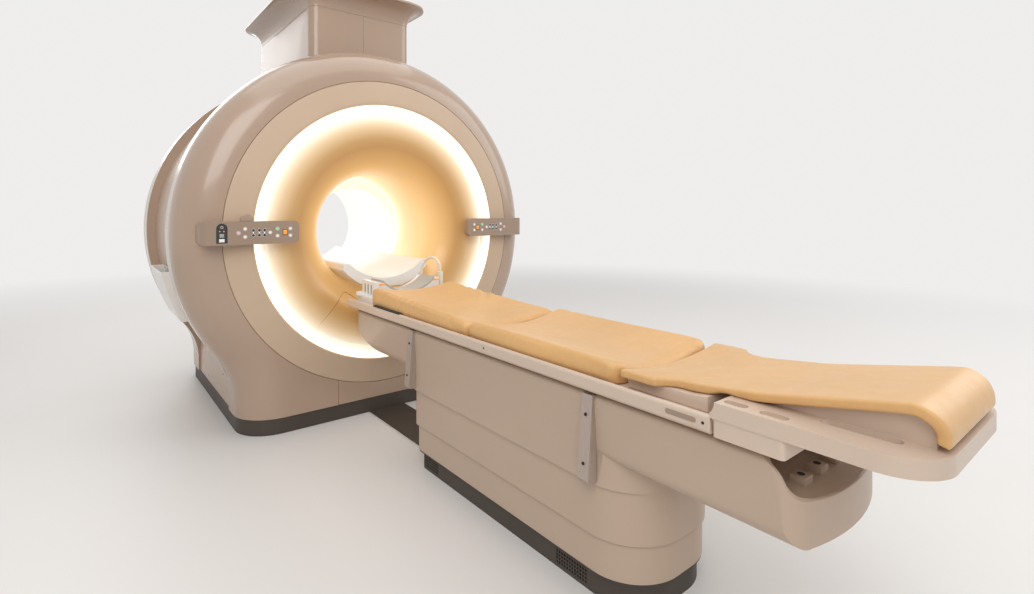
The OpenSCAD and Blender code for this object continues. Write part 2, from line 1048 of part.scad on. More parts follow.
// What is cut off above the foot end, where the upper edge drops in an S
module beam_drop() {
    y_drop = beam_y1 + 130;
    run = sqrt(drop * (4 * drop_r - drop));
    turn = acos(1 - drop / (2 * drop_r));
    polygon(concat(
        arc_points([y_drop, beam_top - drop_r], drop_r, 90, 90 + turn, 8),
        arc_points([y_drop - run, beam_top - drop + drop_r], drop_r, turn - 90, -90, 8),
        [[beam_y1 - 20, beam_top - drop], [beam_y1 - 20, beam_top + 50], [y_drop, beam_top + 50]]
    ));
}

// Plan of the beam: round nose, foot end with a gentle arc and round corners
module beam_plan(t) {
    nose = 150 - t;
    half = beam_w / 2 - t;
    reach = tail_arc - tail_corner;
    corner_y = tail_y - tail_back * reach;
    translate([-half, corner_y])
        square([2 * half, beam_y0 - t - nose - corner_y]);
    translate([-half + nose, beam_y0 - t - nose])
        square([2 * (half - nose), nose]);
    intersection() {
        translate([0, tail_y])
            circle(tail_arc - t);
        polygon([
            [0, tail_y], [tail_across * far, tail_y - tail_back * far],
            [-tail_across * far, tail_y - tail_back * far]
        ]);
    }
    for (s = [-1, 1]) {
        translate([s * (half - nose), beam_y0 - t - nose])
            circle(nose);
        translate([s * tail_across * reach, corner_y])
            circle(tail_corner - t);
    }
}

module beam_body(t) {
    intersection() {
        along_y(beam_y1 - 5, beam_y0 + 5)
            beam_section(t);
        along_x(-beam_w, beam_w)
            beam_side(t);
        along_z(beam_bottom - 50, beam_top + 50)
            beam_plan(t);
    }
}

module end_block(gap) {
    translate([-end_half + gap, beam_y1 - 10, 0])
        cube([2 * (end_half - gap), end_depth + 10 - gap, axis_h]);
}

// Upper cover: the long beam and the upper part of the pedestal in one moulding
module beam_shell() {
    rim = 22;
    difference() {
        union() {
            beam_body(0);
            along_z(upper_z, beam_bottom + 60)
                pedestal_plan(pedestal_w, ped_y0, ped_y1);
        }
        intersection() {
            beam_body(table_t);
            translate([-far / 2, beam_y1, 0])
                cube([far, far, beam_top - table_t]);
        }
        along_z(beam_top - rim, beam_top + 1)
            beam_plan(rim);
        along_z(upper_z - 1, beam_bottom + 70)
            pedestal_plan(pedestal_w - 2 * table_t, ped_y0 - table_t, ped_y1 + table_t);
        along_x(-beam_w, beam_w)
            beam_drop();
    }
}

// Deck below the bowl, with a low wall at its inner end
module beam_deck() {
    deck_y = beam_y1 + end_depth + fit;
    inner_y = beam_y1 + deck_l;
    intersection() {
        along_z(deck_z, deck_z + table_t)
            translate([-far / 2, beam_y1 - 10])
                square([far, deck_l + 10]);
        union() {
            beam_body(table_t + fit);
            intersection() {
                beam_body(table_t / 2);
                translate([-far / 2, deck_y, 0])
                    cube([far, far, far]);
            }
        }
    }
    intersection() {
        beam_body(table_t / 2);
        translate([-far / 2, inner_y - table_t, deck_z + table_t / 2])
            cube([far, table_t / 2, head_z + 10 - deck_z - table_t / 2]);
    }
}

module beam_cover() {
    color("lightgray") {
        difference() {
            beam_shell();
            end_block(0);
        }
        beam_deck();
    }
}

module end_cover() {
    color("lightgray")
        intersection() {
            beam_shell();
            end_block(fit);
        }
}

// Wedge posts on the left side of the beam, each with two round screw caps
module accessory_posts() {
    post_w = 44;
    z0 = 375;
    z1 = 640;
    top_face = beam_w / 2 + 8;
    face = beam_w / 2 + 28;
    lean = (face - top_face) / (z1 - z0);
    cap_r = 8;
    color("silver")
        for (y = [ped_y0 - 10 - post_w, ped_y1 + 165])
            difference() {
                union() {
                    along_y(y, y + post_w)
                        polygon([
                            [-pedestal_w / 2 - fit, z1], [-top_face, z1], [-face, z0 + 12],
                            [-face + 8, z0], [-pedestal_w / 2 - fit, z0]
                        ]);
                    for (z = [z0 + 60, z1 - 60])
                        translate([-face + (z - z0) * lean, y + post_w / 2, z])
                            rotate([0, -86, 0])
                                cylinder(r = cap_r, h = 4, center = true);
                }
                along_y(beam_y1, beam_y0)
                    beam_section(0);
            }
}

// Section of the tabletop: two rails with a shallow tray between them
module board_section() {
    half = board_w / 2;
    rail = 14;
    difference() {
        polygon([
            [-half + 8, board_z0], [half - 8, board_z0], [half, board_z0 + 8], [half, board_z1 - 6],
            [half - 6, board_z1], [-half + 6, board_z1], [-half, board_z1 - 6], [-half, board_z0 + 8]
        ]);
        translate([-half + rail, tray_z])
            square([board_w - 2 * rail, tray_d + 1]);
    }
}

module tabletop() {
    color("linen")
        along_y(foot_y, head_y)
            board_section();
}

// Side view of the raised part of the foot frame, or of a layer on top of it
module foot_ramp(layer) {
    back = roll_y - roll_r - layer;
    translate([roll_y, roll_z])
        circle(roll_r + layer);
    polygon([
        [ramp_y, arm_z - 5], [ramp_y, arm_z - 1 + layer], [roll_y, roll_z + roll_r - 1 + layer],
        [roll_y, roll_z], [back, roll_z], [back, arm_z - 5]
    ]);
}

// Foot frame: arms flush with the rails, with finger slots, hanging boxes and a raised shell between the arms
module foot_frame() {
    half = board_w / 2;
    arm_t = 40;
    under = arm_z - arm_t;
    shell_half = 168;
    slot0 = 172;
    slot1 = 200;
    end_r = 110;
    step_r = arm_z - board_z1;
    grip0 = 226;
    grip1 = 252;
    box_in = 160;
    box_y1 = foot_y - 178;
    tray_y1 = end_y + 145;
    slot_y0 = foot_y - 220;
    slot_y1 = foot_y - 375;
    grip_ends = [[22, 80], [110, 175]];
    grip_d = 14;
    color("linen")
        difference() {
            union() {
                along_z(under, arm_z)
                    round_rect(-half, half, end_y, foot_y + end_r, end_r);
                both_sides()
                    along_z(board_z0, under + 1)
                        round_rect(box_in, half - 2, box_y1, foot_y - 5, 10);
                along_z(board_z0 + 2, under + 1)
                    round_rect(-box_in - 5, box_in + 5, tray_y1, foot_y - 3, 20);
                along_x(-shell_half, shell_half)
                    foot_ramp(0);
            }
            translate([-far / 2, foot_y - fit, 0])
                cube([far, 2 * end_r, far]);
            along_x(-board_w, board_w)
                translate([foot_y + 25, arm_z])
                    circle(step_r);
            both_sides()
                along_z(board_z0 - 10, arm_z + 50)
                    round_rect(slot0, slot1, slot_y1, slot_y0, 13);
            both_sides()
                for (y = grip_ends)
                    along_z(arm_z - grip_d, arm_z + 1)
                        round_rect(grip0, grip1, foot_y - y[1], foot_y - y[0], 12);
        }
}

// Round trough along the table whose lowest line falls from height z0 to z1 between two places
module dish(y0, z0, y1, z1, r) {
    fall = atan((z0 - z1) / (y0 - y1));
    translate([0, y0, z0 + r / cos(fall)])
        rotate([90 + fall, 0, 0])
            cylinder(r = r, h = 6 * far, center = true, $fn = 720);
}

// Radius of a trough of depth d across the cushions
function dish_r(d) = (cushion_w * cushion_w / 4 + d * d) / (2 * d);

// A cushion with a dished top and round upper edges, between two places along the table
module cushion(y0, y1, top) {
    half = cushion_w / 2;
    edge = 18;
    intersection() {
        along_y(y1, y0)
            round_rect(-half, half, tray_z + fit, top, edge);
        along_x(-half, half)
            round_rect(y1, y0, tray_z - edge, top, edge);
    }
}

module front_cushion() {
    top = board_z1 + cushion_t + 22;
    color("burlywood")
        difference() {
            cushion(pad_y0, pad_y1 + pad_gap, top);
            dish(pad_y0, top - cushion_dish + 5, pad_y1, top - cushion_dish - 37, dish_r(cushion_dish - 3));
        }
}

module middle_cushion() {
    top = board_z1 + cushion_t - 3;
    color("burlywood")
        difference() {
            cushion(pad_y1 - pad_gap, pad_y2 + pad_gap, top);
            dish(pad_y1, top - cushion_dish - 10, pad_y2, top - cushion_dish - 13, dish_r(cushion_dish + 8));
        }
}

// Foot cushion: a thin pad with two wings, which climbs the ramp and rolls over its end
module foot_cushion() {
    half = cushion_w / 2;
    y0 = pad_y2 - pad_gap;
    flat_top = arm_z + 7;
    layer = 28;
    narrow = 200;
    wing_y = ring_y - 2150;
    color("burlywood")
        difference() {
            intersection() {
                along_x(-half, half)
                    difference() {
                        union() {
                            polygon([
                                [y0, tray_z + fit], [y0, flat_top], [foot_y + 90, flat_top],
                                [ramp_y, arm_z + layer], [roll_y, roll_z + roll_r + layer - 1],
                                [roll_y, arm_z + fit], [foot_y + fit, arm_z + fit],
                                [foot_y + fit, tray_z + fit]
                            ]);
                            intersection() {
                                translate([roll_y, roll_z])
                                    circle(roll_r + layer);
                                translate([end_y - 100, arm_z + fit])
                                    square([ramp_y - end_y, 200]);
                            }
                        }
                        foot_ramp(fit);
                    }
                along_z(0, far)
                    union() {
                        round_rect(-half, half, wing_y, y0 + 2, 30);
                        round_rect(-narrow, narrow, end_y - 20, y0 + 2, 60);
                    }
            }
            dish(y0, arm_z - 17, ramp_y, arm_z + layer + 2, dish_r(cushion_dish - 6));
        }
}

// Base of the head coil: a cradle with a trough, a block at each side and a handle tab
module head_coil_base() {
    half = coil_w / 2;
    rim = 40;
    color("white")
        difference() {
            union() {
                along_z(tray_z, tray_z + rim)
                    round_rect(-half - 30, half + 30, coil_y1, coil_y0, rim);
                along_z(tray_z + rim, coil_top)
                    round_rect(-half, half, coil_y1 + 20, coil_y0, rim);
                along_z(tray_z + rim, tray_z + rim + 16)
                    round_rect(-half - 48, -half + 40, coil_y0 - 110, coil_y0 - 30, 36);
            }
            along_y(coil_y1 - 1, coil_y0 + 1)
                translate([0, trough_z])
                    circle(trough_r);
        }
}

module coil_pad() {
    pad_half = 160;
    pad_t = 12;
    color("gainsboro")
        along_y(coil_y1 + 30, coil_y0 - 60)
            difference() {
                intersection() {
                    translate([0, trough_z])
                        circle(trough_r - fit);
                    translate([-pad_half, tray_z])
                        square([2 * pad_half, coil_top + 10 - tray_z]);
                }
                translate([0, trough_z])
                    circle(trough_r - pad_t);
            }
}

// Sweep of a round section along the cable's points
function unit(v) = v / norm(v);
function heading(p, i) = unit(p[min(i + 1, len(p) - 1)] - p[max(i - 1, 0)]);
function side_of(h) = unit(cross(h, [0, 1, 0.3]));
module tube(path, r, sides) {
    rings = [for (i = [0 : len(path) - 1]) let (h = heading(path, i), s = side_of(h), u = cross(h, s))
        for (k = [0 : sides - 1]) path[i] + r * (cos(360 * k / sides) * s + sin(360 * k / sides) * u)];
    last = (len(path) - 1) * sides;
    walls = [for (i = [0 : len(path) - 2]) for (k = [0 : sides - 1])
        [i * sides + k, i * sides + (k + 1) % sides, (i + 1) * sides + (k + 1) % sides, (i + 1) * sides + k]];
    first_cap = [for (k = [sides - 1 : -1 : 0]) k];
    last_cap = [for (k = [0 : sides - 1]) last + k];
    polyhedron(rings, concat([first_cap], walls, [last_cap]));
}

module coil_cable() {
    color("ivory")
        tube(cable_path, cable_r, 8);
}

// Plug at the end of the cable, beside the cushion
module coil_connector() {
    last = cable_path[len(cable_path) - 1];
    plug_half = 11;
    plug_l = 40;
    color("ivory")
        along_z(tray_z, last[2] - fit)
            translate([last[0], last[1]])
                round_rect(-plug_half, plug_half, -plug_l / 2, plug_l / 2, 8);
}

plinth();
front_cover();
centre_panel();
front_ring();
light_ring();
flare();
flare_panel();
bore_liner();
trim_ring();
side_cover_left();
side_cover_right();
rear_cover();
rear_flare();
cryostat();
gradient_coil();
cold_head();
column_left();
column_right();
collar();
bridge();
panel_left();
panel_right();
panel_lamps();
sensor_disc();
side_pocket();
floor_duct();
key(1, 0);  // key_left_1
key(1, 1);  // key_left_2
key(1, 2);  // key_left_3
key(1, 3);  // key_left_4
key(1, 4);  // key_left_5
key(1, 5);  // key_left_6
key(1, 6);  // key_left_7
key(1, 7);  // key_left_8
key(0, 0);  // key_right_1
key(0, 1);  // key_right_2
key(0, 2);  // key_right_3
key(0, 3);  // key_right_4
key(0, 4);  // key_right_5
key(0, 5);  // key_right_6
key(0, 6);  // key_right_7
key(0, 7);  // key_right_8
table_plinth();
table_base();
lower_cover();
middle_cover();
lift_stage();
lift_head();
beam_cover();
end_cover();
accessory_posts();
tabletop();
foot_frame();
front_cushion();
middle_cushion();
foot_cushion();
head_coil_base();
coil_pad();
coil_cable();
coil_connector();
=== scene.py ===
import json
import math

import bmesh
import bpy
from bpy.props import FloatProperty, FloatVectorProperty, IntProperty, PointerProperty
from mathutils import Matrix, Vector

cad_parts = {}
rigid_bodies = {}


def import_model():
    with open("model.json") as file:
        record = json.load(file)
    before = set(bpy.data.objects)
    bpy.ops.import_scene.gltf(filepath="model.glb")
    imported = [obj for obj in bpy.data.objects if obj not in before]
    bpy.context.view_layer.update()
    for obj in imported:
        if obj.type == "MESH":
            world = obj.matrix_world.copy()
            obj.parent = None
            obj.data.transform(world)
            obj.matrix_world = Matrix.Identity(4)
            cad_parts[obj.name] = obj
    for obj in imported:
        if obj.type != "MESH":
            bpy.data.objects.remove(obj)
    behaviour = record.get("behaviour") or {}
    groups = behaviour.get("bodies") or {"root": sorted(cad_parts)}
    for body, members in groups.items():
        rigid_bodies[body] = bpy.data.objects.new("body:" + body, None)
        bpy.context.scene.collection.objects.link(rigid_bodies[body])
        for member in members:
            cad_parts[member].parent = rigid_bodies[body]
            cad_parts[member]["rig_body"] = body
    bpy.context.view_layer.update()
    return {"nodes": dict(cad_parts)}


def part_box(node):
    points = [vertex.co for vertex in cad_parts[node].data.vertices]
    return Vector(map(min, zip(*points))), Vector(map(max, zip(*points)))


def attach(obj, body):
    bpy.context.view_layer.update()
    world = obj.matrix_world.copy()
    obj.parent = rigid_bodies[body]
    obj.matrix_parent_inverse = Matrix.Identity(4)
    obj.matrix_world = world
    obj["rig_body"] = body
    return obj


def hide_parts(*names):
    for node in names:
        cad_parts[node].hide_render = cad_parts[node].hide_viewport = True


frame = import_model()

bl_info = {
    "name": "MRI Scanner",
    "version": (1, 0, 0),
    "blender": (4, 5, 0),
    "location": "3D Viewport > Sidebar > Scanner",
    "description": "Builds the looks of a wide-bore MRI scanner and its table round the packed frame",
    "category": "Add Mesh",
}

BODY_OF = {o.name: o["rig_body"] for o in frame["nodes"].values()}

# Height of the bore's axis, and places along the bore of the front ring's face and of the trim ring
AXIS_H = 1.068
RING_Y = -0.830
TRIM_Y = RING_Y + 0.580

# Radii between which the flare's painted light and shade and the colours of the light ring run
FLARE_R0, FLARE_R1 = 0.35, 0.70
GLOW_R0, GLOW_R1 = 0.690, 0.752

# Middle height and face of the control panels
PANEL_Z = AXIS_H + 0.012
PANEL_Y = RING_Y - 0.045


# Settings

def colour_setting(name, description, default):
    return FloatVectorProperty(name=name, description=description, subtype="COLOR", size=3,
                               min=0, max=1, default=default)


def length_setting(name, description, low, high, default):
    return FloatProperty(name=name, description=description, subtype="DISTANCE", unit="LENGTH",
                         min=low, max=high, default=default)


class ScannerFinish(bpy.types.PropertyGroup):
    shell_colour: colour_setting("Shell", "Colour of the glossy covers", (0.42, 0.30, 0.22))
    ring_colour: colour_setting("Front ring", "Colour of the matt ring round the light", (0.55, 0.41, 0.29))
    table_colour: colour_setting("Table covers", "Colour of the table's covers", (0.49, 0.37, 0.28))
    skirt_colour: colour_setting("Skirts", "Colour of the dark skirts", (0.055, 0.042, 0.033))
    glow_colour: colour_setting("Glow", "Colour of the lit ring's outer rim", (1.0, 0.86, 0.62))
    glow_strength: FloatProperty(name="Glow strength", description="Strength of the lit ring",
                                 min=0, max=20, default=1.15)


class ScannerCushions(bpy.types.PropertyGroup):
    leather_colour: colour_setting("Leatherette", "Colour of the cushions", (0.68, 0.395, 0.155))
    voxel: length_setting("Voxel", "Cell of the mesh that is simulated", 0.004, 0.02, 0.009)
    pressure: FloatProperty(name="Pressure", description="Air pressure in the simulated cushions",
                            min=0, max=20, default=4.0)
    swell: length_setting("Swell", "Furthest that a point of a cushion may move", 0.001, 0.03, 0.008)
    steps: IntProperty(name="Steps", description="Simulated frames", min=1, max=60, default=14)


class ScannerStage(bpy.types.PropertyGroup):
    backdrop: colour_setting("Backdrop", "Colour seen behind the scanner", (0.86, 0.85, 0.84))
    floor_colour: colour_setting("Floor", "Colour of the floor", (0.74, 0.72, 0.70))


def finish_settings():
    return bpy.context.scene.scanner_finish


# Node helpers

def direct_rays(nodes, links):
    """1 for what the camera sees, also in mirrors and through glass, and 0 for other light."""
    path = nodes.new("ShaderNodeLightPath")
    seen = path.outputs["Is Camera Ray"]
    for kind in ("Is Glossy Ray", "Is Transmission Ray"):
        either = nodes.new("ShaderNodeMath")
        either.operation = "MAXIMUM"
        links.new(seen, either.inputs[0])
        links.new(path.outputs[kind], either.inputs[1])
        seen = either.outputs["Value"]
    return seen


class Finish:
    """A material with a principled shader, built up one layer at a time on Object coordinates."""

    def __init__(self, name, colour, rough, metallic=0.0, coat=0.0, sheen=0.0):
        self.mat = bpy.data.materials.new(name)
        self.mat.use_nodes = True
        self.nodes = self.mat.node_tree.nodes
        self.links = self.mat.node_tree.links
        self.shader = self.nodes["Principled BSDF"]
        self.put("Base Color", (*colour, 1))
        self.put("Roughness", rough)
        self.put("Metallic", metallic)
        self.put("Coat Weight", coat)
        self.put("Coat Roughness", 0.08)
        self.put("Sheen Weight", sheen)
        self.coords = self.nodes.new("ShaderNodeTexCoord")
        self.colour = colour
        self.rough = rough
        self.last_normal = None

    def put(self, socket, value):
        self.shader.inputs[socket].default_value = value

    def place(self, scale=(1, 1, 1)):
        node = self.nodes.new("ShaderNodeMapping")
        node.inputs["Scale"].default_value = scale
        self.links.new(self.coords.outputs["Object"], node.inputs["Vector"])
        return node.outputs["Vector"]

    def noise(self, scale, detail=2.0, rough=0.5, vector=None):
        node = self.nodes.new("ShaderNodeTexNoise")
        node.inputs["Scale"].default_value = scale
        node.inputs["Detail"].default_value = detail
        node.inputs["Roughness"].default_value = rough
        self.links.new(vector or self.place(), node.inputs["Vector"])
        return node.outputs["Fac"]

    def cells(self, scale):
        node = self.nodes.new("ShaderNodeTexVoronoi")
        node.inputs["Scale"].default_value = scale
        self.links.new(self.place(), node.inputs["Vector"])
        return node.outputs["Distance"]

    def maths(self, kind, a, b=0.0):
        node = self.nodes.new("ShaderNodeMath")
        node.operation = kind
        for socket, value in zip(node.inputs, (a, b)):
            if isinstance(value, (int, float)):
                socket.default_value = value
            else:
                self.links.new(value, socket)
        return node.outputs["Value"]

    def span(self, value, a0, a1, b0, b1, smooth=False):
        node = self.nodes.new("ShaderNodeMapRange")
        if smooth:
            node.interpolation_type = "SMOOTHSTEP"
        self.links.new(value, node.inputs["Value"])
        for socket, number in zip(("From Min", "From Max", "To Min", "To Max"), (a0, a1, b0, b1)):
            node.inputs[socket].default_value = number
        return node.outputs["Result"]

    def ramp(self, value, stops):
        node = self.nodes.new("ShaderNodeValToRGB")
        bar = node.color_ramp
        while len(bar.elements) < len(stops):
            bar.elements.new(0.5)
        for element, (position, colour) in zip(bar.elements, stops):
            element.position = position
            element.color = (*colour, 1)
        self.links.new(value, node.inputs["Fac"])
        return node.outputs["Color"]

    def split(self):
        """The X, Y and Z of a point, as outputs of one node."""
        node = self.nodes.new("ShaderNodeSeparateXYZ")
        self.links.new(self.place(), node.inputs["Vector"])
        return node.outputs

    def distance(self, a, b):
        """Length of the longest side of a right triangle with sides a and b."""
        squares = self.maths("ADD", self.maths("POWER", a, 2), self.maths("POWER", b, 2))
        return self.maths("SQRT", squares)

    def axis_radius(self, spot):
        """Distance of a point from the bore's axis."""
        return self.distance(spot["X"], self.maths("SUBTRACT", spot["Z"], AXIS_H))

    def connect(self, output, socket):
        self.links.new(output, self.shader.inputs[socket])

    def tint(self, value, amount):
        """Varies the base colour a little with a value from 0 to 1."""
        low, high = shaded(self.colour, 1 - amount), shaded(self.colour, 1 + amount)
        self.connect(self.ramp(value, [(0.25, low), (0.75, high)]), "Base Color")

    def roughen(self, value, amount):
        """Varies the gloss a little with a value from 0 to 1."""
        low, high = max(0.02, self.rough - amount), min(1.0, self.rough + amount)
        self.connect(self.span(value, 0.3, 0.7, low, high), "Roughness")

    def bump(self, value, strength, depth):
        """Adds relief of a depth in metres to the relief already there."""
        node = self.nodes.new("ShaderNodeBump")
        node.inputs["Strength"].default_value = strength
        node.inputs["Distance"].default_value = depth
        self.links.new(value, node.inputs["Height"])
        if self.last_normal is not None:
            self.links.new(self.last_normal, node.inputs["Normal"])
        self.last_normal = node.outputs["Normal"]
        self.connect(self.last_normal, "Normal")

    def glow(self, colour, strength):
        self.put("Emission Color", (*colour, 1))
        self.put("Emission Strength", strength)


FINISHES = {}


def finish(name):
    """The finish of that name, made once."""
    if name not in FINISHES:
        FINISHES[name] = MAKERS[name]()
    return FINISHES[name].mat


def shaded(colour, share):
    return tuple(min(1.0, c * share) for c in colour)


def moulded(name, colour, rough, coat=0.0, grain=1400, depth=0.00004, cloud=0.03):
    """Moulded plastic: a faint cloud in the colour, uneven gloss and a fine skin texture."""
    made = Finish(name, colour, rough, coat=coat)
    made.tint(made.noise(2.2, 3), cloud)
    made.roughen(made.noise(9, 4), 0.03)
    made.bump(made.noise(grain, 2), 0.25, depth)
    return made


def shell_paint():
    """Gloss paint of the magnet's covers."""
    made = moulded("shell_paint", finish_settings().shell_colour, 0.24, coat=0.35, grain=420,
                   depth=0.00006)
    made.put("Coat Roughness", 0.05)
    return made


def ring_paint():
    return moulded("ring_paint", finish_settings().ring_colour, 0.48, grain=1600, depth=0.00009,
                   cloud=0.04)


def side_paint():
    """The side covers are a shade lighter than the front."""
    return moulded("side_paint", shaded(finish_settings().shell_colour, 1.12), 0.30, coat=0.2, grain=500)


def table_paint():
    return moulded("table_paint", finish_settings().table_colour, 0.42, coat=0.1, grain=1500,
                   depth=0.00008)


def board_paint():
    return moulded("board_paint", (0.62, 0.49, 0.39), 0.36, coat=0.15, grain=1200, depth=0.00005)


def white_plastic():
    return moulded("white_plastic", (0.82, 0.79, 0.75), 0.32, coat=0.2, grain=900, cloud=0.02)


def skirt_plastic():
    return moulded("skirt_plastic", finish_settings().skirt_colour, 0.55, grain=700, depth=0.00015,
                   cloud=0.12)


def bore_painted_light():
    """Painted light: golden in front of the trim ring, where the light ring shines in, and painted lit
    white behind it, with a painted glow all along.
    """
    made = moulded("bore_painted_light", (0.84, 0.82, 0.79), 0.38, coat=0.1, grain=900, cloud=0.02)
    place = made.span(made.split()["Y"], TRIM_Y - 0.34, TRIM_Y + 0.03, 0, 1)
    made.connect(made.ramp(place, [(0.0, (0.80, 0.55, 0.27)), (0.6, (0.82, 0.62, 0.38)),
                                   (0.9, (0.84, 0.74, 0.58)), (1.0, (0.84, 0.82, 0.79))]), "Base Color")
    # Painted light: a glow that stands in for the light in the bore, warm near the ring
    made.connect(made.ramp(place, [(0.0, (1.0, 0.62, 0.26)), (0.8, (1.0, 0.78, 0.50)),
                                   (1.0, (1.0, 0.96, 0.90))]), "Emission Color")
    made.connect(made.span(place, 0.0, 1.0, 0.30, 0.42), "Emission Strength")
    return made


def trim_painted_glow():
    """Pale ring in the bore, with a painted glow for the light of the lamps behind it."""
    made = moulded("trim_painted_glow", (0.80, 0.77, 0.72), 0.34, coat=0.1, grain=900, cloud=0.02)
    made.glow((1.0, 0.94, 0.82), 0.55)
    return made


def lit_ring():
    """The light ring: white hot where the lamps sit behind it, a touch warmer at its rims."""
    settings = finish_settings()
    made = Finish("lit_ring", (1.0, 0.93, 0.82), 0.5)
    place = made.span(made.axis_radius(made.split()), GLOW_R0, GLOW_R1, 0, 1)
    made.connect(made.ramp(place, [(0.0, (1.0, 0.84, 0.58)), (0.45, (1.0, 0.95, 0.84)),
                                   (0.8, (1.0, 0.97, 0.90)), (1.0, tuple(settings.glow_colour))]),
                 "Emission Color")
    strength = settings.glow_strength
    uneven = made.span(made.noise(6, 2), 0.2, 0.8, strength * 0.95, strength * 1.05)
    inward = made.span(place, 0.0, 0.9, 0.36, 1.0, smooth=True)
    made.connect(made.maths("MULTIPLY", uneven, inward), "Emission Strength")
    return made


def golden_flare():
    """Painted light and shade: lit from the ring outside and from the bore inside, with a deeper caramel
    band of painted shade between, and brighter towards the right.
    """
    made = Finish("golden_flare", (0.86, 0.62, 0.33), 0.34, coat=0.15)
    spot = made.split()
    place = made.span(made.axis_radius(spot), FLARE_R0, FLARE_R1, 0, 1)
    # Painted light and shade in the base colour: pale at the rims, darkest caramel between
    made.connect(made.ramp(place, [(0.0, (0.84, 0.60, 0.31)), (0.20, (0.74, 0.47, 0.19)),
                                   (0.45, (0.58, 0.32, 0.11)), (0.60, (0.62, 0.37, 0.15)),
                                   (0.78, (0.80, 0.58, 0.33)), (0.92, (0.95, 0.80, 0.60)),
                                   (1.0, (1.0, 0.93, 0.82))]), "Base Color")
    made.connect(made.ramp(place, [(0.0, (1.0, 0.66, 0.30)), (0.30, (0.80, 0.42, 0.12)),
                                   (0.52, (0.62, 0.30, 0.08)), (0.70, (0.95, 0.62, 0.30)),
                                   (0.84, (1.0, 0.84, 0.60)), (1.0, (1.0, 0.95, 0.84))]), "Emission Color")
    painted_glow_bands = made.ramp(place, [(at, (light,) * 3) for at, light in (
        (0.0, 0.22), (0.28, 0.14), (0.52, 0.03), (0.70, 0.04), (0.82, 0.10), (0.93, 0.26), (1.0, 0.70))])
    # Painted light: the glow grows stronger towards the right
    right = made.span(spot["X"], -0.5, 0.6, 0.85, 1.35)
    made.connect(made.maths("MULTIPLY", painted_glow_bands, right), "Emission Strength")
    made.roughen(made.noise(5, 3), 0.03)
    made.bump(made.noise(900, 2), 0.2, 0.00004)
    return made


def brushed(name, colour, rough, along=(60, 1, 60)):
    """Metal with fine lines, which run along the axis whose scale is smallest."""
    made = Finish(name, colour, rough, metallic=1.0)
    lines = made.noise(9, 5, 0.6, made.place(scale=along))
    made.tint(lines, 0.10)
    made.roughen(lines, 0.10)
    made.bump(lines, 0.3, 0.0001)
    return made


def vessel_steel():
    return brushed("vessel_steel", (0.56, 0.57, 0.58), 0.38)


def post_metal():
    """Painted posts with a metallic sheen."""
    made = brushed("post_metal", (0.46, 0.38, 0.33), 0.40, along=(40, 40, 2))
    made.put("Metallic", 0.55)
    return made


def lift_steel():
    """Dark steel of the lift inside the table."""
    made = Finish("lift_steel", (0.13, 0.135, 0.145), 0.45, metallic=0.4)
    made.tint(made.noise(14, 4), 0.18)
    made.roughen(made.noise(30, 4), 0.1)
    made.bump(made.noise(260, 3), 0.3, 0.0002)
    return made


def cast_epoxy():
    """Glassy resin of the gradient coil."""
    made = Finish("cast_epoxy", (0.30, 0.25, 0.12), 0.42, coat=0.3)
    weave = made.maths("MULTIPLY", made.noise(70, 3), made.noise(8, 3))
    made.tint(weave, 0.35)
    made.bump(made.noise(160, 4), 0.4, 0.0004)
    return made


def leatherette():
    """Leatherette: fine pebble grain, soft mottling and a slight sheen."""
    colour = bpy.context.scene.scanner_cushions.leather_colour
    made = Finish("leatherette", colour, 0.46, coat=0.06, sheen=0.12)
    mottle = made.maths("ADD", made.maths("MULTIPLY", made.noise(3.5, 4), 0.7),
                        made.maths("MULTIPLY", made.noise(60, 3), 0.3))
    made.tint(mottle, 0.10)
    made.roughen(made.noise(22, 4), 0.06)
    made.bump(made.noise(28, 3), 0.12, 0.0012)
    made.bump(made.cells(620), 0.35, 0.00035)
    return made


def pad_weave():
    """Grey cloth with a coarse weave."""
    made = Finish("pad_weave", (0.44, 0.41, 0.37), 0.8, sheen=0.3)
    warp = made.noise(4, 1, 0.5, made.place(scale=(160, 8, 20)))
    weft = made.noise(4, 1, 0.5, made.place(scale=(8, 160, 20)))
    made.tint(made.maths("ADD", made.maths("MULTIPLY", warp, 0.5), made.maths("MULTIPLY", weft, 0.5)), 0.16)
    made.bump(made.maths("MAXIMUM", warp, weft), 0.5, 0.0006)
    return made


# The floor fades into the backdrop between these distances from the origin
FADE_START, FADE_END = 3.2, 9.0


def pale_floor():
    """Floor that shades near the scanner and fades into the backdrop far away."""
    settings = bpy.context.scene.scanner_stage
    made = Finish("pale_floor", settings.floor_colour, 0.5)
    made.tint(made.noise(0.8, 3), 0.012)
    spot = made.split()
    away = made.span(made.distance(spot["X"], spot["Y"]), FADE_START, FADE_END, 0, 1, smooth=True)
    share = made.maths("MULTIPLY", direct_rays(made.nodes, made.links), away)
    plain = made.nodes.new("ShaderNodeEmission")
    plain.inputs["Color"].default_value = (*settings.backdrop, 1)
    mix = made.nodes.new("ShaderNodeMixShader")
    made.links.new(share, mix.inputs["Fac"])
    made.links.new(made.shader.outputs["BSDF"], mix.inputs[1])
    made.links.new(plain.outputs["Emission"], mix.inputs[2])
    made.links.new(mix.outputs["Shader"], made.nodes["Material Output"].inputs["Surface"])
    return made


def cable_jacket():
    return moulded("cable_jacket", (0.78, 0.72, 0.60), 0.45, grain=800, depth=0.00008)


def dark_glass():
    """Black glass of the indicators."""
    made = Finish("dark_glass", (0.010, 0.011, 0.013), 0.12, coat=0.6)
    made.roughen(made.noise(40, 3), 0.04)
    made.bump(made.noise(300, 2), 0.08, 0.00003)
    return made


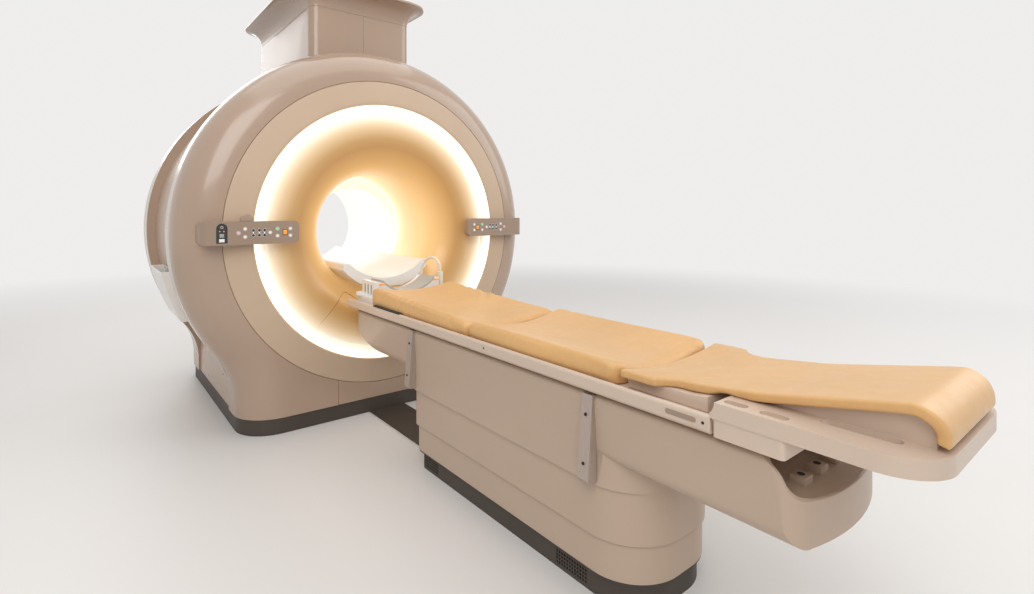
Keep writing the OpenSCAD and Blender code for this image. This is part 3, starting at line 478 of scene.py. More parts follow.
def gap_painted_shade():
    """Near-black painted shade of seams, slots and screw holes."""
    made = Finish("gap_painted_shade", (0.018, 0.016, 0.015), 0.8)
    made.tint(made.noise(120, 3), 0.3)
    made.bump(made.noise(240, 3), 0.3, 0.0002)
    return made


def panel_bezel():
    """Frame of the control panels, a shade darker than the shell."""
    return moulded("panel_bezel", shaded(finish_settings().shell_colour, 0.80), 0.34, coat=0.2, grain=700)


def key_cap(name, colour, lit=0.0):
    """Smooth plastic of keys and small lamps, lit from inside where a strength is given."""
    made = moulded(name, colour, 0.35, coat=0.2, grain=1500, depth=0.00005, cloud=0.04)
    if lit:
        made.glow(colour, lit)
    return made


MAKERS = {
    "shell": shell_paint, "ring": ring_paint, "side": side_paint, "table": table_paint,
    "board": board_paint, "white": white_plastic, "skirt": skirt_plastic, "bore": bore_painted_light,
    "trim": trim_painted_glow, "glow": lit_ring, "flare": golden_flare, "vessel": vessel_steel,
    "machined": post_metal, "steel": lift_steel, "epoxy": cast_epoxy, "cushion": leatherette,
    "pad": pad_weave, "cable": cable_jacket, "lamp": dark_glass, "gap": gap_painted_shade, "floor": pale_floor,
    "bezel": panel_bezel,
    "key_collar": lambda: key_cap("key_collar", (0.52, 0.46, 0.41)),
    "key_white": lambda: key_cap("key_white", (0.80, 0.78, 0.76), 0.12),
    "key_pink": lambda: key_cap("key_pink", (0.85, 0.45, 0.48), 0.10),
    "key_green": lambda: key_cap("key_green", (0.16, 0.66, 0.34), 0.25),
    "amber": lambda: key_cap("amber_lamp", (0.85, 0.34, 0.06), 0.25),
    "spark": lambda: key_cap("spark_lamp", (0.92, 0.96, 1.0), 1.2),
}


# Mesh helpers

# Points closer than this become one, and so do faces that turn by fewer degrees than this
MERGE_DIST, MERGE_ANGLE = 2e-5, 0.4
# Edges sharper than this, in degrees, are softened on a solid, and stay sharp on a new piece or a cushion
SKIN_SHARP, PIECE_SHARP, CUSHION_SHARP = 30, 35, 80
# The rim of a cushion is where its faces turn by more than this many degrees
RIM_ANGLE = 50


def new_piece(name, bm, material, body, sharp=PIECE_SHARP):
    """A mesh object from a bmesh, riding on a body."""
    mesh = bpy.data.meshes.new(name)
    for face in bm.faces:
        face.smooth = True
    for edge in bm.edges:
        if len(edge.link_faces) == 2:
            edge.smooth = edge.calc_face_angle(0) < math.radians(sharp)
    bm.to_mesh(mesh)
    bm.free()
    piece = bpy.data.objects.new(name, mesh)
    bpy.context.scene.collection.objects.link(piece)
    mesh.materials.append(finish(material))
    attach(piece, body)
    return piece


def dress(node, material, edge=0.0):
    """A merged copy of a CAD solid with smooth faces and softened edges, which stands for the solid."""
    bm = bmesh.new()
    bm.from_mesh(frame["nodes"][node].data)
    bmesh.ops.remove_doubles(bm, verts=bm.verts, dist=MERGE_DIST)
    bmesh.ops.dissolve_limit(bm, angle_limit=math.radians(MERGE_ANGLE), verts=bm.verts, edges=bm.edges,
                             delimit={"NORMAL"})
    piece = new_piece(node + "_skin", bm, material, BODY_OF[node], sharp=SKIN_SHARP)
    if edge:
        bevel = piece.modifiers.new("edge", "BEVEL")
        bevel.width = edge
        bevel.segments = 2
        bevel.profile = 0.5
        bevel.limit_method = "ANGLE"
        bevel.angle_limit = math.radians(SKIN_SHARP)
        bevel.use_clamp_overlap = True
    weigh = piece.modifiers.new("normals", "WEIGHTED_NORMAL")
    weigh.keep_sharp = True
    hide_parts(node)
    return piece


def paint(node, material):
    """Gives a finish to a CAD solid that is shown as it is."""
    materials = frame["nodes"][node].data.materials
    materials.clear()
    materials.append(finish(material))


class Step(bpy.types.Operator):
    """What every step of the build shares"""
    bl_options = {"REGISTER", "UNDO"}


# Camera, lights and floor

# The photograph's camera: place, turn in degrees, lens in millimetres and upward shift of its frame
CAMERA_AT = (-1.462, -3.852, 1.200)
CAMERA_TURN = (90, 0, -39)
CAMERA_LENS, CAMERA_SHIFT = 18.97, -0.085

# Each lamp's name, place, turn in degrees, side and power in watts
LAMPS = [
    ("key", (-4.5, -6.0, 5.2), (48, 0, -38), 5.0, 280), ("fill", (5.5, -4.5, 4.0), (56, 0, 50), 5.0, 160),
    ("back", (0.0, 6.5, 4.6), (-58, 0, 0), 5.0, 130), ("top", (0.0, -1.2, 6.8), (0, 0, 0), 7.0, 178)]
ROOM_COLOUR, ROOM_LIGHT = (1, 0.99, 0.98), 0.37
FLOOR_RADIUS = 40


def radians(turn):
    return tuple(math.radians(a) for a in turn)


class SCANNER_OT_stage(Step):
    """Camera at the photograph's place, soft light and a pale floor"""
    bl_idname = "scanner.stage"
    bl_label = "Stage"

    def camera(self, scene):
        data = bpy.data.cameras.new("camera")
        data.lens = CAMERA_LENS
        data.sensor_width = 36
        data.shift_y = CAMERA_SHIFT
        data.clip_end = 200
        camera = bpy.data.objects.new("camera", data)
        camera.location = CAMERA_AT
        camera.rotation_euler = radians(CAMERA_TURN)
        scene.collection.objects.link(camera)
        scene.camera = camera

    def floor(self, scene):
        bm = bmesh.new()
        bmesh.ops.create_circle(bm, cap_ends=True, segments=64, radius=FLOOR_RADIUS)
        mesh = bpy.data.meshes.new("floor")
        bm.to_mesh(mesh)
        bm.free()
        ground = bpy.data.objects.new("floor", mesh)
        scene.collection.objects.link(ground)
        mesh.materials.append(finish("floor"))

    def lamps(self, scene):
        for name, where, turn, side, power in LAMPS:
            lamp = bpy.data.lights.new(name, "AREA")
            lamp.size = side
            lamp.energy = power
            holder = bpy.data.objects.new(name, lamp)
            holder.location = where
            holder.rotation_euler = radians(turn)
            scene.collection.objects.link(holder)

    def room(self, scene):
        """Even light on the scanner from all round, and the plain backdrop behind it."""
        world = bpy.data.worlds.new("studio")
        world.use_nodes = True
        scene.world = world
        nodes, links = world.node_tree.nodes, world.node_tree.links
        light = nodes["Background"]
        light.inputs["Color"].default_value = (*ROOM_COLOUR, 1)
        light.inputs["Strength"].default_value = ROOM_LIGHT
        behind = nodes.new("ShaderNodeBackground")
        behind.inputs["Color"].default_value = (*scene.scanner_stage.backdrop, 1)
        mix = nodes.new("ShaderNodeMixShader")
        links.new(direct_rays(nodes, links), mix.inputs["Fac"])
        links.new(light.outputs["Background"], mix.inputs[1])
        links.new(behind.outputs["Background"], mix.inputs[2])
        links.new(mix.outputs["Shader"], nodes["World Output"].inputs["Surface"])

    def execute(self, context):
        scene = context.scene
        self.camera(scene)
        self.floor(scene)
        self.lamps(scene)
        self.room(scene)
        scene.view_settings.view_transform = "Standard"
        return {"FINISHED"}


# Head coil cable

# The lead's route from the coil's side over its loop down to the plug
CABLE_POINTS = [
    (0.182, -0.892, 0.8003), (0.182, -0.892, 0.816), (0.184, -0.896, 0.840), (0.189, -0.906, 0.866),
    (0.196, -0.922, 0.890), (0.206, -0.942, 0.904), (0.218, -0.964, 0.908), (0.229, -0.984, 0.898),
    (0.237, -0.998, 0.880), (0.242, -1.008, 0.858), (0.243, -1.010, 0.840), (0.243, -1.010, 0.826)]
CABLE_R = 0.008


def rounded_path(points, times):
    """Points on a smooth curve through the given ones."""
    spots = [Vector(p) for p in points]
    ends = [spots[0] * 2 - spots[1], *spots, spots[-1] * 2 - spots[-2]]
    out = []
    for i in range(len(spots) - 1):
        a, b, c, d = ends[i:i + 4]
        for k in range(times):
            t = k / times
            out.append(0.5 * (2 * b + (c - a) * t + (2 * a - 5 * b + 4 * c - d) * t * t
                              + (3 * b - a - 3 * c + d) * t ** 3))
    return out + [spots[-1]]


class SCANNER_OT_cable(Step):
    """Short cable of the head coil, with its strain relief and plug"""
    bl_idname = "scanner.cable"
    bl_label = "Coil cable"

    def execute(self, context):
        route = rounded_path(CABLE_POINTS, 3)
        curve = bpy.data.curves.new("coil_lead", "CURVE")
        curve.dimensions = "3D"
        curve.bevel_depth = CABLE_R
        curve.bevel_resolution = 5
        curve.use_fill_caps = True
        line = curve.splines.new("POLY")
        line.points.add(len(route) - 1)
        for point, spot in zip(line.points, route):
            point.co = (*spot, 1)
        lead = bpy.data.objects.new("coil_lead", curve)
        context.scene.collection.objects.link(lead)
        curve.materials.append(finish("cable"))
        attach(lead, "board")
        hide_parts("coil_cable")
        plug = dress("coil_connector", "cable", edge=0.003)
        return {"FINISHED"}


# Covers and other solids that keep their CAD shape

# Node, finish and width of its softened edges
SKINS = [
    ("front_cover", "shell", 0.003), ("centre_panel", "shell", 0.003), ("rear_cover", "shell", 0.003),
    ("side_cover_left", "side", 0.003), ("side_cover_right", "side", 0.003),
    ("column_left", "shell", 0.002), ("column_right", "shell", 0.002), ("collar", "shell", 0.003),
    ("front_ring", "ring", 0.002), ("light_ring", "glow", 0.0), ("flare", "flare", 0.002),
    ("flare_panel", "flare", 0.002), ("bore_liner", "bore", 0.0), ("rear_flare", "bore", 0.002),
    ("trim_ring", "trim", 0.002), ("bridge", "white", 0.004), ("panel_left", "bezel", 0.004),
    ("panel_right", "bezel", 0.004), ("sensor_disc", "shell", 0.002), ("side_pocket", "white", 0.002),
    ("plinth", "skirt", 0.004), ("table_plinth", "skirt", 0.001), ("lower_cover", "table", 0.002),
    ("middle_cover", "table", 0.002), ("beam_cover", "table", 0.003), ("end_cover", "table", 0.003),
    ("accessory_posts", "machined", 0.002), ("tabletop", "board", 0.003), ("foot_frame", "board", 0.004),
    ("head_coil_base", "white", 0.004), ("floor_duct", "skirt", 0.002)]
# Node and finish of what is hidden inside or has no edge to soften
PLAIN = [
    ("cryostat", "vessel"), ("gradient_coil", "epoxy"), ("cold_head", "machined"), ("table_base", "steel"),
    ("lift_stage", "steel"), ("lift_head", "steel"), ("panel_lamps", "lamp"), ("coil_pad", "pad")]


class SCANNER_OT_covers(Step):
    """Covers, rings, skirts and frames with smooth faces and softened edges"""
    bl_idname = "scanner.covers"
    bl_label = "Covers"

    def execute(self, context):
        for node, material, edge in SKINS:
            dress(node, material, edge)
        for node, material in PLAIN:
            paint(node, material)
        return {"FINISHED"}


# Small parts

# Quarter turns that lay a cylinder, made upright, along each axis
LAID = {"X": Matrix.Rotation(math.radians(90), 4, "Y"), "Y": Matrix.Rotation(math.radians(90), 4, "X"),
        "Z": Matrix.Identity(4)}


def disc(bm, centre, radius, depth, axis="Y", segments=32):
    """A short cylinder; its centre is the middle of its length."""
    made = bmesh.ops.create_cone(bm, cap_ends=True, segments=segments, radius1=radius, radius2=radius,
                                 depth=depth, matrix=Matrix.Translation(centre) @ LAID[axis])
    return made["verts"]


def oval(bm, centre, half_length, radius, depth):
    """A flat plate with round ends that stands on a side face, long way along the table."""
    for vert in disc(bm, centre, radius, depth, axis="X"):
        vert.co.y += math.copysign(half_length - radius, vert.co.y - centre[1] + 1e-6)


def round_edges(bm, edges, width, segments):
    bmesh.ops.bevel(bm, geom=edges, offset=width, segments=segments, profile=0.5, affect="EDGES",
                    material=-1)


def block(bm, low, high, edge):
    """A box between two opposite corners, with its edges rounded."""
    low, high = (Vector([side(pair) for pair in zip(low, high)]) for side in (min, max))
    made = bmesh.ops.create_cube(bm, size=1, matrix=Matrix.Translation((low + high) / 2)
                                 @ Matrix.Diagonal((*(high - low), 1)))
    round_edges(bm, list({e for v in made["verts"] for e in v.link_edges}), edge, 2)


def round_rim(bm, width, segments):
    """Rounds the rim of a cushion, once all its faces point outwards."""
    bmesh.ops.recalc_face_normals(bm, faces=bm.faces[:])
    limit = math.radians(RIM_ANGLE)
    rim = [e for e in bm.edges if len(e.link_faces) == 2 and e.calc_face_angle(0) > limit]
    round_edges(bm, rim, width, segments)


class SCANNER_OT_keys(Step):
    """Key caps of both control panels: a pale collar with a coloured button in it"""
    bl_idname = "scanner.keys"
    bl_label = "Keys"

    number = 8
    colours = {1: "key_pink", 5: "key_green"}
    collar_edge = 0.0012
    cap_radius, cap_depth, cap_edge = 0.0068, 0.0010, 0.0003

    def execute(self, context):
        for side in ("left", "right"):
            for i in range(1, self.number + 1):
                node = "key_%s_%d" % (side, i)
                colour = self.colours.get(i, "key_white")
                dress(node, "key_collar", self.collar_edge)
                low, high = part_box(node)
                bm = bmesh.new()
                disc(bm, ((low.x + high.x) / 2, low.y, (low.z + high.z) / 2), self.cap_radius,
                     self.cap_depth)
                cap = new_piece(node + "_cap", bm, colour, node)
                cap.modifiers.new("edge", "BEVEL").width = self.cap_edge
        return {"FINISHED"}


class SCANNER_OT_lamps(Step):
    """Indicator rings, bright dots and the arched window of the control panels"""
    bl_idname = "scanner.lamps"
    bl_label = "Panel lamps"

    # Each panel has three pairs of indicators with a bright dot between every pair
    indicator_x = (0.765, 0.737, 0.712)
    indicator_dz = 0.013
    rim, face, spark = (0.0092, 0.0008), (0.0074, 0.0013), (0.0022, 0.0016)

    # The amber lamp of each panel: place, half width, half height and rounded edge
    amber_x = 0.611
    amber_half = (0.0095, 0.012)
    amber_edge = 0.0004

    # The arched window: two orange dots, a ring above them, four bars and a plate below
    window_x = -0.907
    dot_dx, dot_dz, dot = 0.009, 0.010, (0.0032, 0.0012)
    ring_dz, ring_rim, ring_face = 0.030, (0.0062, 0.0010), (0.0046, 0.0014)
    bars, bar_dz, bar_step, bar_half = 4, -0.004, 0.0045, (0.010, 0.0009)
    plate_dz, plate_half = -0.035, (0.012, 0.008)

    def indicators(self, rims, faces, sparks):
        front = PANEL_Y - 0.0012
        for side in (-1, 1):
            for x in self.indicator_x:
                for dz in (-self.indicator_dz, self.indicator_dz):
                    disc(rims, (side * x, front, PANEL_Z + dz), *self.rim)
                    disc(faces, (side * x, front, PANEL_Z + dz), *self.face)
                disc(sparks, (side * x, PANEL_Y, PANEL_Z), *self.spark, segments=16)

    def ambers(self, oranges):
        half_x, half_z = self.amber_half
        for x in (-self.amber_x, self.amber_x):
            block(oranges, (x - half_x, PANEL_Y - 0.0016, PANEL_Z - half_z),
                  (x + half_x, PANEL_Y - 0.0004, PANEL_Z + half_z), self.amber_edge)

    def window(self, rims, faces, oranges, pales):
        x, glass = self.window_x, PANEL_Y + 0.002
        for dx in (-self.dot_dx, self.dot_dx):
            disc(oranges, (x + dx, glass, PANEL_Z + self.dot_dz), *self.dot, segments=20)
        disc(rims, (x, glass, PANEL_Z + self.ring_dz), *self.ring_rim)
        disc(faces, (x, glass, PANEL_Z + self.ring_dz), *self.ring_face)
        slats = [(self.bar_dz - self.bar_step * k, self.bar_half, 0.0003) for k in range(self.bars)]
        for dz, (half_x, half_z), edge in (*slats, (self.plate_dz, self.plate_half, 0.0004)):
            z = PANEL_Z + dz
            block(pales, (x - half_x, glass - 0.0008, z - half_z), (x + half_x, glass + 0.0004, z + half_z),
                  edge)

    def execute(self, context):
        rims, faces, sparks, oranges, pales = (bmesh.new() for _ in range(5))
        self.indicators(rims, faces, sparks)
        self.window(rims, faces, oranges, pales)
        self.ambers(oranges)
        for name, bm, material in (
                ("indicator_rims", rims, "key_white"), ("indicator_faces", faces, "lamp"),
                ("indicator_sparks", sparks, "spark"), ("window_lamps", oranges, "amber"),
                ("window_grille", pales, "key_white")):
            new_piece(name, bm, material, "scanner")
        return {"FINISHED"}


class SCANNER_OT_fittings(Step):
    """Small fittings: rail slots and dots, head coil slots and strips, post caps and the bowl's sockets"""
    bl_idname = "scanner.fittings"
    bl_label = "Fittings"

    # On the tabletop's rails: height and places of an oval slot, of two screws and of a block on top; the
    # slot is a darker plate of painted shade for its recess, and the screws and the block are near-black
    # painted shade
    rail_dz = 0.026
    slot_y, slot_half, slot_r = RING_Y - 2.2075, 0.0455, 0.007
    screw_y, screw_r = (RING_Y - 1.350, RING_Y - 2.272), 0.004
    clip_x, clip_y = (0.002, 0.024), (RING_Y - 0.650, RING_Y - 0.360)
    clip_dz, clip_edge = (-0.002, 0.004), 0.003

    # On the head coil's base: three upright slots in each side, near-black strips of painted shade, and an
    # amber strip at each rear corner
    coil_half, coil_slots, coil_first, coil_step = 0.200, 3, 0.070, 0.040
    coil_slot_half, coil_slot_dz = 0.004, (-0.070, -0.018)
    strip_x, strip_dy, strip_dz = (0.150, 0.188), 0.020, (-0.012, -0.004)

    # In the bowl at the foot end: three sockets with a dark hole each, a near-black disc of painted shade
    socket_x, socket_half, socket_z, socket_edge = (-0.09, 0.0, 0.09), 0.022, (0.536, 0.556), 0.004
    socket_dy, socket_hole = (0.060, 0.100), 0.009

    # On the beam: the seam of its end cover, a near-black strip of painted shade, and the screw caps of the
    # posts
    seam_dy, seam_z, seam_half = (0.020, 0.026), (0.455, 0.540), 0.0012
    cap_dy, cap_spots, cap_r = 0.022, ((0.580, -0.2650), (0.435, -0.2755)), 0.0052

    def rails(self, dark, slots):
        low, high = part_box("tabletop")
        z = low.z + self.rail_dz
        for side, x in ((-1, low.x), (1, high.x)):
            oval(slots, (x, self.slot_y, z), self.slot_half, self.slot_r, 0.0012)
            for y in self.screw_y:
                disc(dark, (x, y, z), self.screw_r, 0.0014, axis="X", segments=20)
            x0, x1 = (x - side * inward for inward in self.clip_x)
            block(dark, (x0, self.clip_y[0], high.z + self.clip_dz[0]),
                  (x1, self.clip_y[1], high.z + self.clip_dz[1]), self.clip_edge)

    def coil(self, dark, amber):
        low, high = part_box("head_coil_base")
        rear = low.y + self.strip_dy
        for side in (-1, 1):
            x = side * self.coil_half
            for k in range(self.coil_slots):
                y = high.y - self.coil_first - self.coil_step * k
                block(dark, (x - 0.0008, y - self.coil_slot_half, high.z + self.coil_slot_dz[0]),
                      (x + 0.0008, y + self.coil_slot_half, high.z + self.coil_slot_dz[1]), 0.0006)
            x0, x1 = (side * out for out in self.strip_x)
            block(amber, (x0, rear - 0.0010, high.z + self.strip_dz[0]),
                  (x1, rear + 0.0010, high.z + self.strip_dz[1]), 0.0004)

    def sockets(self, dark, white, bowl_y):
        (y0, y1), (z0, z1) = self.socket_dy, self.socket_z
        for x in self.socket_x:
            block(white, (x - self.socket_half, bowl_y + y0, z0), (x + self.socket_half, bowl_y + y1, z1),
                  self.socket_edge)
            disc(dark, (x, bowl_y + (y0 + y1) / 2, z1), self.socket_hole, 0.0016, axis="Z", segments=24)

    def ends(self, seams, bowl_y):
        (y0, y1), (z0, z1) = self.seam_dy, self.seam_z
        _, end_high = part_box("end_cover")
        for x in (-end_high.x, end_high.x):
            block(seams, (x - self.seam_half, bowl_y + y0, z0), (x + self.seam_half, bowl_y + y1, z1),
                  0.0004)
        low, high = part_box("accessory_posts")
        for y in (high.y - self.cap_dy, low.y + self.cap_dy):
            for z, x in self.cap_spots:
                disc(seams, (x, y, z), self.cap_r, 0.0040, axis="X", segments=20)

    def execute(self, context):
        dark, slots, seams, amber, white = (bmesh.new() for _ in range(5))
        bowl_low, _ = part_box("beam_cover")
        self.rails(dark, slots)
        self.coil(dark, amber)
        self.sockets(dark, white, bowl_low.y)
        self.ends(seams, bowl_low.y)
        new_piece("board_painted_shade", dark, "gap", "board")
        new_piece("rail_slots", slots, "bezel", "board")
        new_piece("beam_seams", seams, "gap", "beam")
        new_piece("coil_strips", amber, "amber", "board")
        new_piece("bowl_sockets", white, "table", "beam")
        return {"FINISHED"}


# Cushions

# Each fold in plan: where it starts, where it ends, its width and its depth
FRONT_FOLDS = [
    ((-0.250, RING_Y - 0.600), (-0.140, RING_Y - 0.640), 0.012, 0.005),
    ((-0.250, RING_Y - 0.700), (-0.120, RING_Y - 0.790), 0.012, 0.006),
    ((0.250, RING_Y - 0.480), (0.090, RING_Y - 0.620), 0.014, 0.004),
    ((0.250, RING_Y - 0.640), (0.060, RING_Y - 0.900), 0.016, 0.005)]
MIDDLE_FOLDS = [
    ((0.250, RING_Y - 1.300), (0.120, RING_Y - 1.420), 0.014, 0.003)]

# Node, middle height at both ends, rise of the sides, corner radius and folds
SLABS = [
    ("front_cushion", 0.757, 0.715, 0.027, 0.010, FRONT_FOLDS),
    ("middle_cushion", 0.717, 0.714, 0.038, 0.050, MIDDLE_FOLDS)]
# How far a cover starts inside its cushion's solid, for the air to fill, and the height that stays put
SLAB_SKIN, SLAB_HELD = 0.003, 0.004
SLAB_EDGE = 0.018


def slab(name, half, y0, y1, z0, ends, rise, corner):
    """A cushion: flat below, round edges, and a top whose middle runs between the heights of its ends."""
    bm = bmesh.new()
    bmesh.ops.create_grid(bm, x_segments=28, y_segments=60, size=1)
    for vert in bm.verts:
        y = y0 + (y1 - y0) * (vert.co.y + 1) / 2
        short = max(0.0, corner - abs(y1 - y))
        width = half - corner + math.sqrt(corner ** 2 - short ** 2)
        vert.co = Vector((vert.co.x * width, y, z0))
    made = bmesh.ops.extrude_face_region(bm, geom=bm.faces[:])
    for vert in (v for v in made["geom"] if isinstance(v, bmesh.types.BMVert)):
        share = (vert.co.y - y0) / (y1 - y0)
        vert.co.z = ends[0] + (ends[1] - ends[0]) * share + rise * (vert.co.x / half) ** 2
    round_rim(bm, SLAB_EDGE, 4)
    return new_piece(name, bm, "cushion", "board", sharp=CUSHION_SHARP)


# The foot pad's upper line, as place along the table and height: ends of its flat part, rise and ramp
PAD_FLAT, PAD_RISE, PAD_RAMP = (-3.030, 0.742), (-3.209, 0.763), (-3.510, 0.8225)
# The roll at its end: centre, radius of its two skins, and where it starts and ends in degrees
ROLL, ROLL_OUT, ROLL_IN, ROLL_TURN = (-3.510, 0.761), 0.0620, 0.0368, (92, 206)
# Its thickness, its rounded edge, how far it starts inside its solid, and its points across
PAD_T, PAD_EDGE, PAD_BACK, PAD_COLUMNS = 0.024, 0.007, 0.002, 25
# Width: half of the narrow part, what a wing adds, and where the wings end and over what length
PAD_HALF, WING, WING_END, WING_RUN = 0.1985, 0.050, -2.980, 0.045
# Round end corners: their radius, the part of it that is used, and where they start
CORNER_R, CORNER_USED, CORNER_Y = 0.060, 0.055, -3.535
# Dish in front: its middle line's front end and rise, and the sides' curve, as twice its radius
DISH_FRONT, DISH_RISE, DISH_CURVE = (-2.820, 0.718), 0.047, 2.628
# What the pad lies on: the frame's tray, the frame's front edge and top, and the top of its ramp
TRAY_Z, FRAME_Y, FRAME_Z, RAMP_Z = 0.6835, -3.100, 0.7362, 0.7965
# The wedge: how far its front stands back, its half width, the gap under the pad, its base and its edge
WEDGE_BACK, WEDGE_HALF, WEDGE_GAP, WEDGE_Z, WEDGE_EDGE = 0.003, 0.215, 0.0012, 0.6826, 0.002


def between(a, b, n):
    """The first n of n + 1 evenly spaced numbers from a to b."""
    return [a + (b - a) * i / n for i in range(n)]


def pad_half(y):
    """Half the foot pad's width: two wings in front, a narrow part behind them and round end corners."""
    wing = min(max((y - WING_END) / WING_RUN, 0), 1)
    corner = min(max(CORNER_Y - y, 0.0), CORNER_USED)
    round_off = CORNER_R - math.sqrt(CORNER_R ** 2 - corner ** 2)
    return PAD_HALF + WING * wing * wing * (3 - 2 * wing) - round_off


def pad_top(x, y, top):
    """Upper height of the pad, dished in front."""
    if y <= PAD_RISE[0]:
        return top
    along = (DISH_FRONT[0] - y) / (DISH_FRONT[0] - PAD_RISE[0])
    return min(top, DISH_FRONT[1] + DISH_RISE * along + x * x / DISH_CURVE)


def pad_low(x, y, top):
    """Lower height of the pad: its thickness below the top, or what it lies on where that is higher."""
    floor = TRAY_Z
    if y < PAD_RISE[0]:
        floor = FRAME_Z + (RAMP_Z - FRAME_Z) * (y - PAD_RISE[0]) / (PAD_RAMP[0] - PAD_RISE[0])
    elif y < FRAME_Y:
        floor = FRAME_Z
    return max(pad_top(x, y, top) - PAD_T, floor)


def foot_rows(front):
    """Rows of the pad's upper line up to the roll: place along the table and height."""
    rows = [(y, PAD_FLAT[1]) for y in between(front, PAD_FLAT[0], 7)]
    for (y0, z0), (y1, z1), n in ((PAD_FLAT, PAD_RISE, 7), (PAD_RISE, PAD_RAMP, 10)):
        rows += [(y, z0 + (z1 - z0) * (y - y0) / (y1 - y0)) for y in between(y0, y1, n)]
    return rows


def two_skins(name, upper, lower, edge, material):
    """A closed pad between an upper and a lower grid of points with the same rows and columns."""
    rows, columns = len(upper), len(upper[0])
    bm = bmesh.new()
    bmesh.ops.create_grid(bm, x_segments=columns - 1, y_segments=rows - 1, size=1)
    spots = {}
    for vert in bm.verts:
        column = round((vert.co.x + 1) / 2 * (columns - 1))
        row = round((vert.co.y + 1) / 2 * (rows - 1))
        vert.co = lower[row][column]
        spots[tuple(vert.co)] = (column, row)
    made = bmesh.ops.extrude_face_region(bm, geom=bm.faces[:])
    for vert in (v for v in made["geom"] if isinstance(v, bmesh.types.BMVert)):
        column, row = spots[tuple(vert.co)]
        vert.co = upper[row][column]
    round_rim(bm, edge, 3)
    return new_piece(name, bm, material, "board", sharp=CUSHION_SHARP)


def foot_pad(front):
    """The foot pad and the wedge that carries its front part."""
    shares = [2 * i / (PAD_COLUMNS - 1) - 1 for i in range(PAD_COLUMNS)]
    upper, lower = [], []
    for y, top in foot_rows(front):
        xs = [s * pad_half(y) for s in shares]
        upper.append([Vector((x, y, pad_top(x, y, top))) for x in xs])
        lower.append([Vector((x, y, pad_low(x, y, top))) for x in xs])
    for angle in between(*radians(ROLL_TURN), 12):
        xs = [s * pad_half(ROLL[0] + ROLL_OUT * math.cos(angle)) for s in shares]
        for skin, radius in ((upper, ROLL_OUT), (lower, ROLL_IN)):
            y, z = ROLL[0] + radius * math.cos(angle), ROLL[1] + radius * math.sin(angle)
            skin.append([Vector((x, y, z)) for x in xs])
    pad = two_skins("foot_cushion_cover", upper, lower, PAD_EDGE, "cushion")
    rows = [row for row in foot_rows(front - WEDGE_BACK) if row[0] > FRAME_Y]
    xs = [s * WEDGE_HALF for s in shares]
    under = [[Vector((x, y, pad_low(x, y, top) - WEDGE_GAP)) for x in xs] for y, top in rows]
    base = [[Vector((x, y, WEDGE_Z)) for x in xs] for y, _ in rows]
    wedge = two_skins("foot_wedge", under, base, WEDGE_EDGE, "board")
    for piece in (pad, wedge):
        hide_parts("foot_cushion")
    return pad


# A fold's sides swell by this share of its depth, this many widths away, and its reach is also in widths
FOLD_SWELL, FOLD_SIDE, FOLD_REACH = 0.45, 1.8, 3


def crease(piece, start, end, width, depth):
    """Presses a soft fold into a cushion's skin along a line in plan, strongest at its start."""
    a, b = Vector(start), Vector(end)
    line = (b - a).normalized()
    length = (b - a).length
    normals = [v.normal.copy() for v in piece.data.vertices]
    for vert, normal in zip(piece.data.vertices, normals):
        along = (vert.co.xy - a).dot(line)
        away = (vert.co.xy - a - line * along).length / width
        if -width < along < length + width and away < FOLD_REACH:
            fade = max(0.0, 1 - max(along, 0) / (length + width))
            wave = math.exp(-away ** 2) - FOLD_SWELL * math.exp(-(away - FOLD_SIDE) ** 2)
            vert.co -= normal * depth * wave * fade


def inflate(piece, settings, pinned_below):
    """Simulates air in a cushion's cover, holds what lies on the board and applies the result."""
    scene = bpy.context.scene
    bpy.context.view_layer.objects.active = piece
    remesh = piece.modifiers.new("cells", "REMESH")
    remesh.mode = "VOXEL"
    remesh.voxel_size = settings.voxel
    remesh.use_smooth_shade = True
    bpy.ops.object.modifier_apply(modifier=remesh.name)
    start = [v.co.copy() for v in piece.data.vertices]
    held = piece.vertex_groups.new(name="held")
    held.add([v.index for v in piece.data.vertices if v.co.z < pinned_below], 1.0, "REPLACE")
    cloth = piece.modifiers.new("air", "CLOTH")
    cloth.settings.quality = 4
    cloth.settings.mass = 0.4
    cloth.settings.use_pressure = True
    cloth.settings.uniform_pressure_force = settings.pressure
    cloth.settings.effector_weights.gravity = 0
    cloth.settings.vertex_group_mass = "held"
    cloth.settings.tension_stiffness = 25
    cloth.settings.compression_stiffness = 25
    cloth.settings.bending_stiffness = 2.0
    cloth.point_cache.frame_end = settings.steps + 2
    for step in range(1, settings.steps + 1):
        scene.frame_set(step)
    bpy.ops.object.modifier_apply(modifier=cloth.name)
    scene.frame_set(1)
    for vert, old in zip(piece.data.vertices, start):
        move = vert.co - old
        if move.length > settings.swell:
            vert.co = old + move.normalized() * settings.swell
    piece.vertex_groups.clear()


def refine(piece):
    """Smooths a cushion's cells once more."""
    finer = piece.modifiers.new("finer", "SUBSURF")
    finer.levels = finer.render_levels = 1


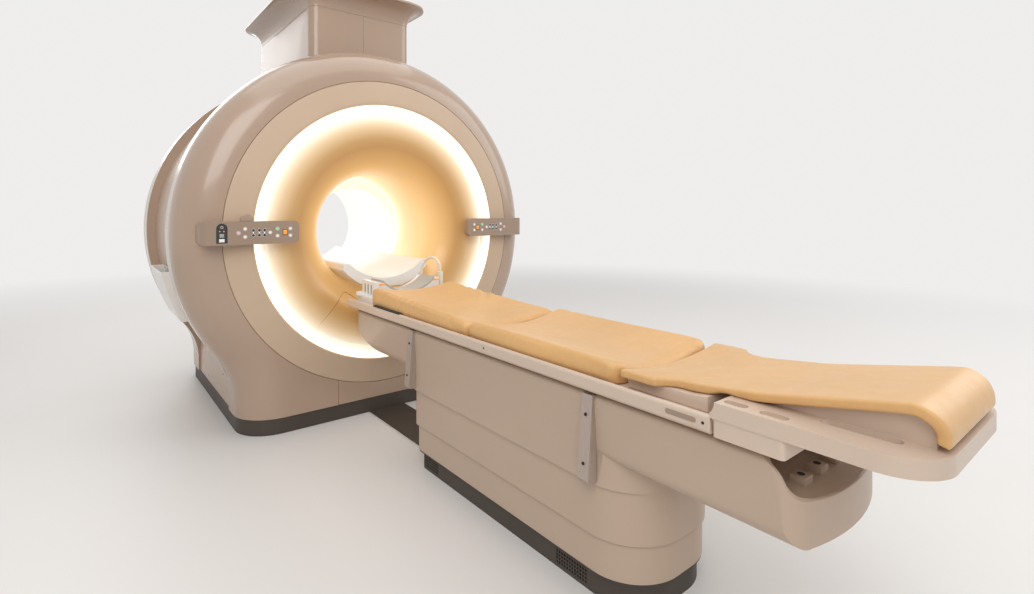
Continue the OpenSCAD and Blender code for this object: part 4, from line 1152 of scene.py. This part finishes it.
class SCANNER_OT_cushions(Step):
    """Front, middle and foot cushions in leatherette"""
    bl_idname = "scanner.cushions"
    bl_label = "Cushions"

    def execute(self, context):
        settings = context.scene.scanner_cushions
        for node, front, rear, rise, corner, folds in SLABS:
            low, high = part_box(node)
            piece = slab(node + "_cover", high.x - SLAB_SKIN, high.y - SLAB_SKIN, low.y + SLAB_SKIN, low.z,
                         (front - SLAB_SKIN, rear - SLAB_SKIN), rise, corner)
            for other in context.scene.objects:
                other.select_set(False)
            piece.select_set(True)
            inflate(piece, settings, low.z + SLAB_HELD)
            for fold in folds:
                crease(piece, *fold)
            refine(piece)
            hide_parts(node)
        _, foot_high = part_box("foot_cushion")
        foot = foot_pad(foot_high.y - PAD_BACK)
        refine(foot)
        return {"FINISHED"}


class SCANNER_PT_panel(bpy.types.Panel):
    """Lists the steps of the build and their settings"""
    bl_idname = "SCANNER_PT_panel"
    bl_label = "MRI Scanner"
    bl_space_type = "VIEW_3D"
    bl_region_type = "UI"
    bl_category = "Scanner"

    def draw(self, context):
        layout = self.layout
        for step in STEPS:
            layout.operator(step.bl_idname)
        scene = context.scene
        for group in (scene.scanner_finish, scene.scanner_cushions, scene.scanner_stage):
            box = layout.box()
            for name in group.__annotations__:
                box.prop(group, name)


STEPS = [SCANNER_OT_stage, SCANNER_OT_cable, SCANNER_OT_covers, SCANNER_OT_keys, SCANNER_OT_lamps,
         SCANNER_OT_fittings, SCANNER_OT_cushions]
CLASSES = [ScannerFinish, ScannerCushions, ScannerStage, *STEPS, SCANNER_PT_panel]


def register():
    for cls in CLASSES:
        bpy.utils.register_class(cls)
    bpy.types.Scene.scanner_finish = PointerProperty(type=ScannerFinish)
    bpy.types.Scene.scanner_cushions = PointerProperty(type=ScannerCushions)
    bpy.types.Scene.scanner_stage = PointerProperty(type=ScannerStage)


def unregister():
    del bpy.types.Scene.scanner_stage
    del bpy.types.Scene.scanner_cushions
    del bpy.types.Scene.scanner_finish
    for cls in reversed(CLASSES):
        bpy.utils.unregister_class(cls)


def main():
    register()
    for step in STEPS:
        group, name = step.bl_idname.split(".")
        getattr(getattr(bpy.ops, group), name)()


if __name__ == "__main__":
    main()
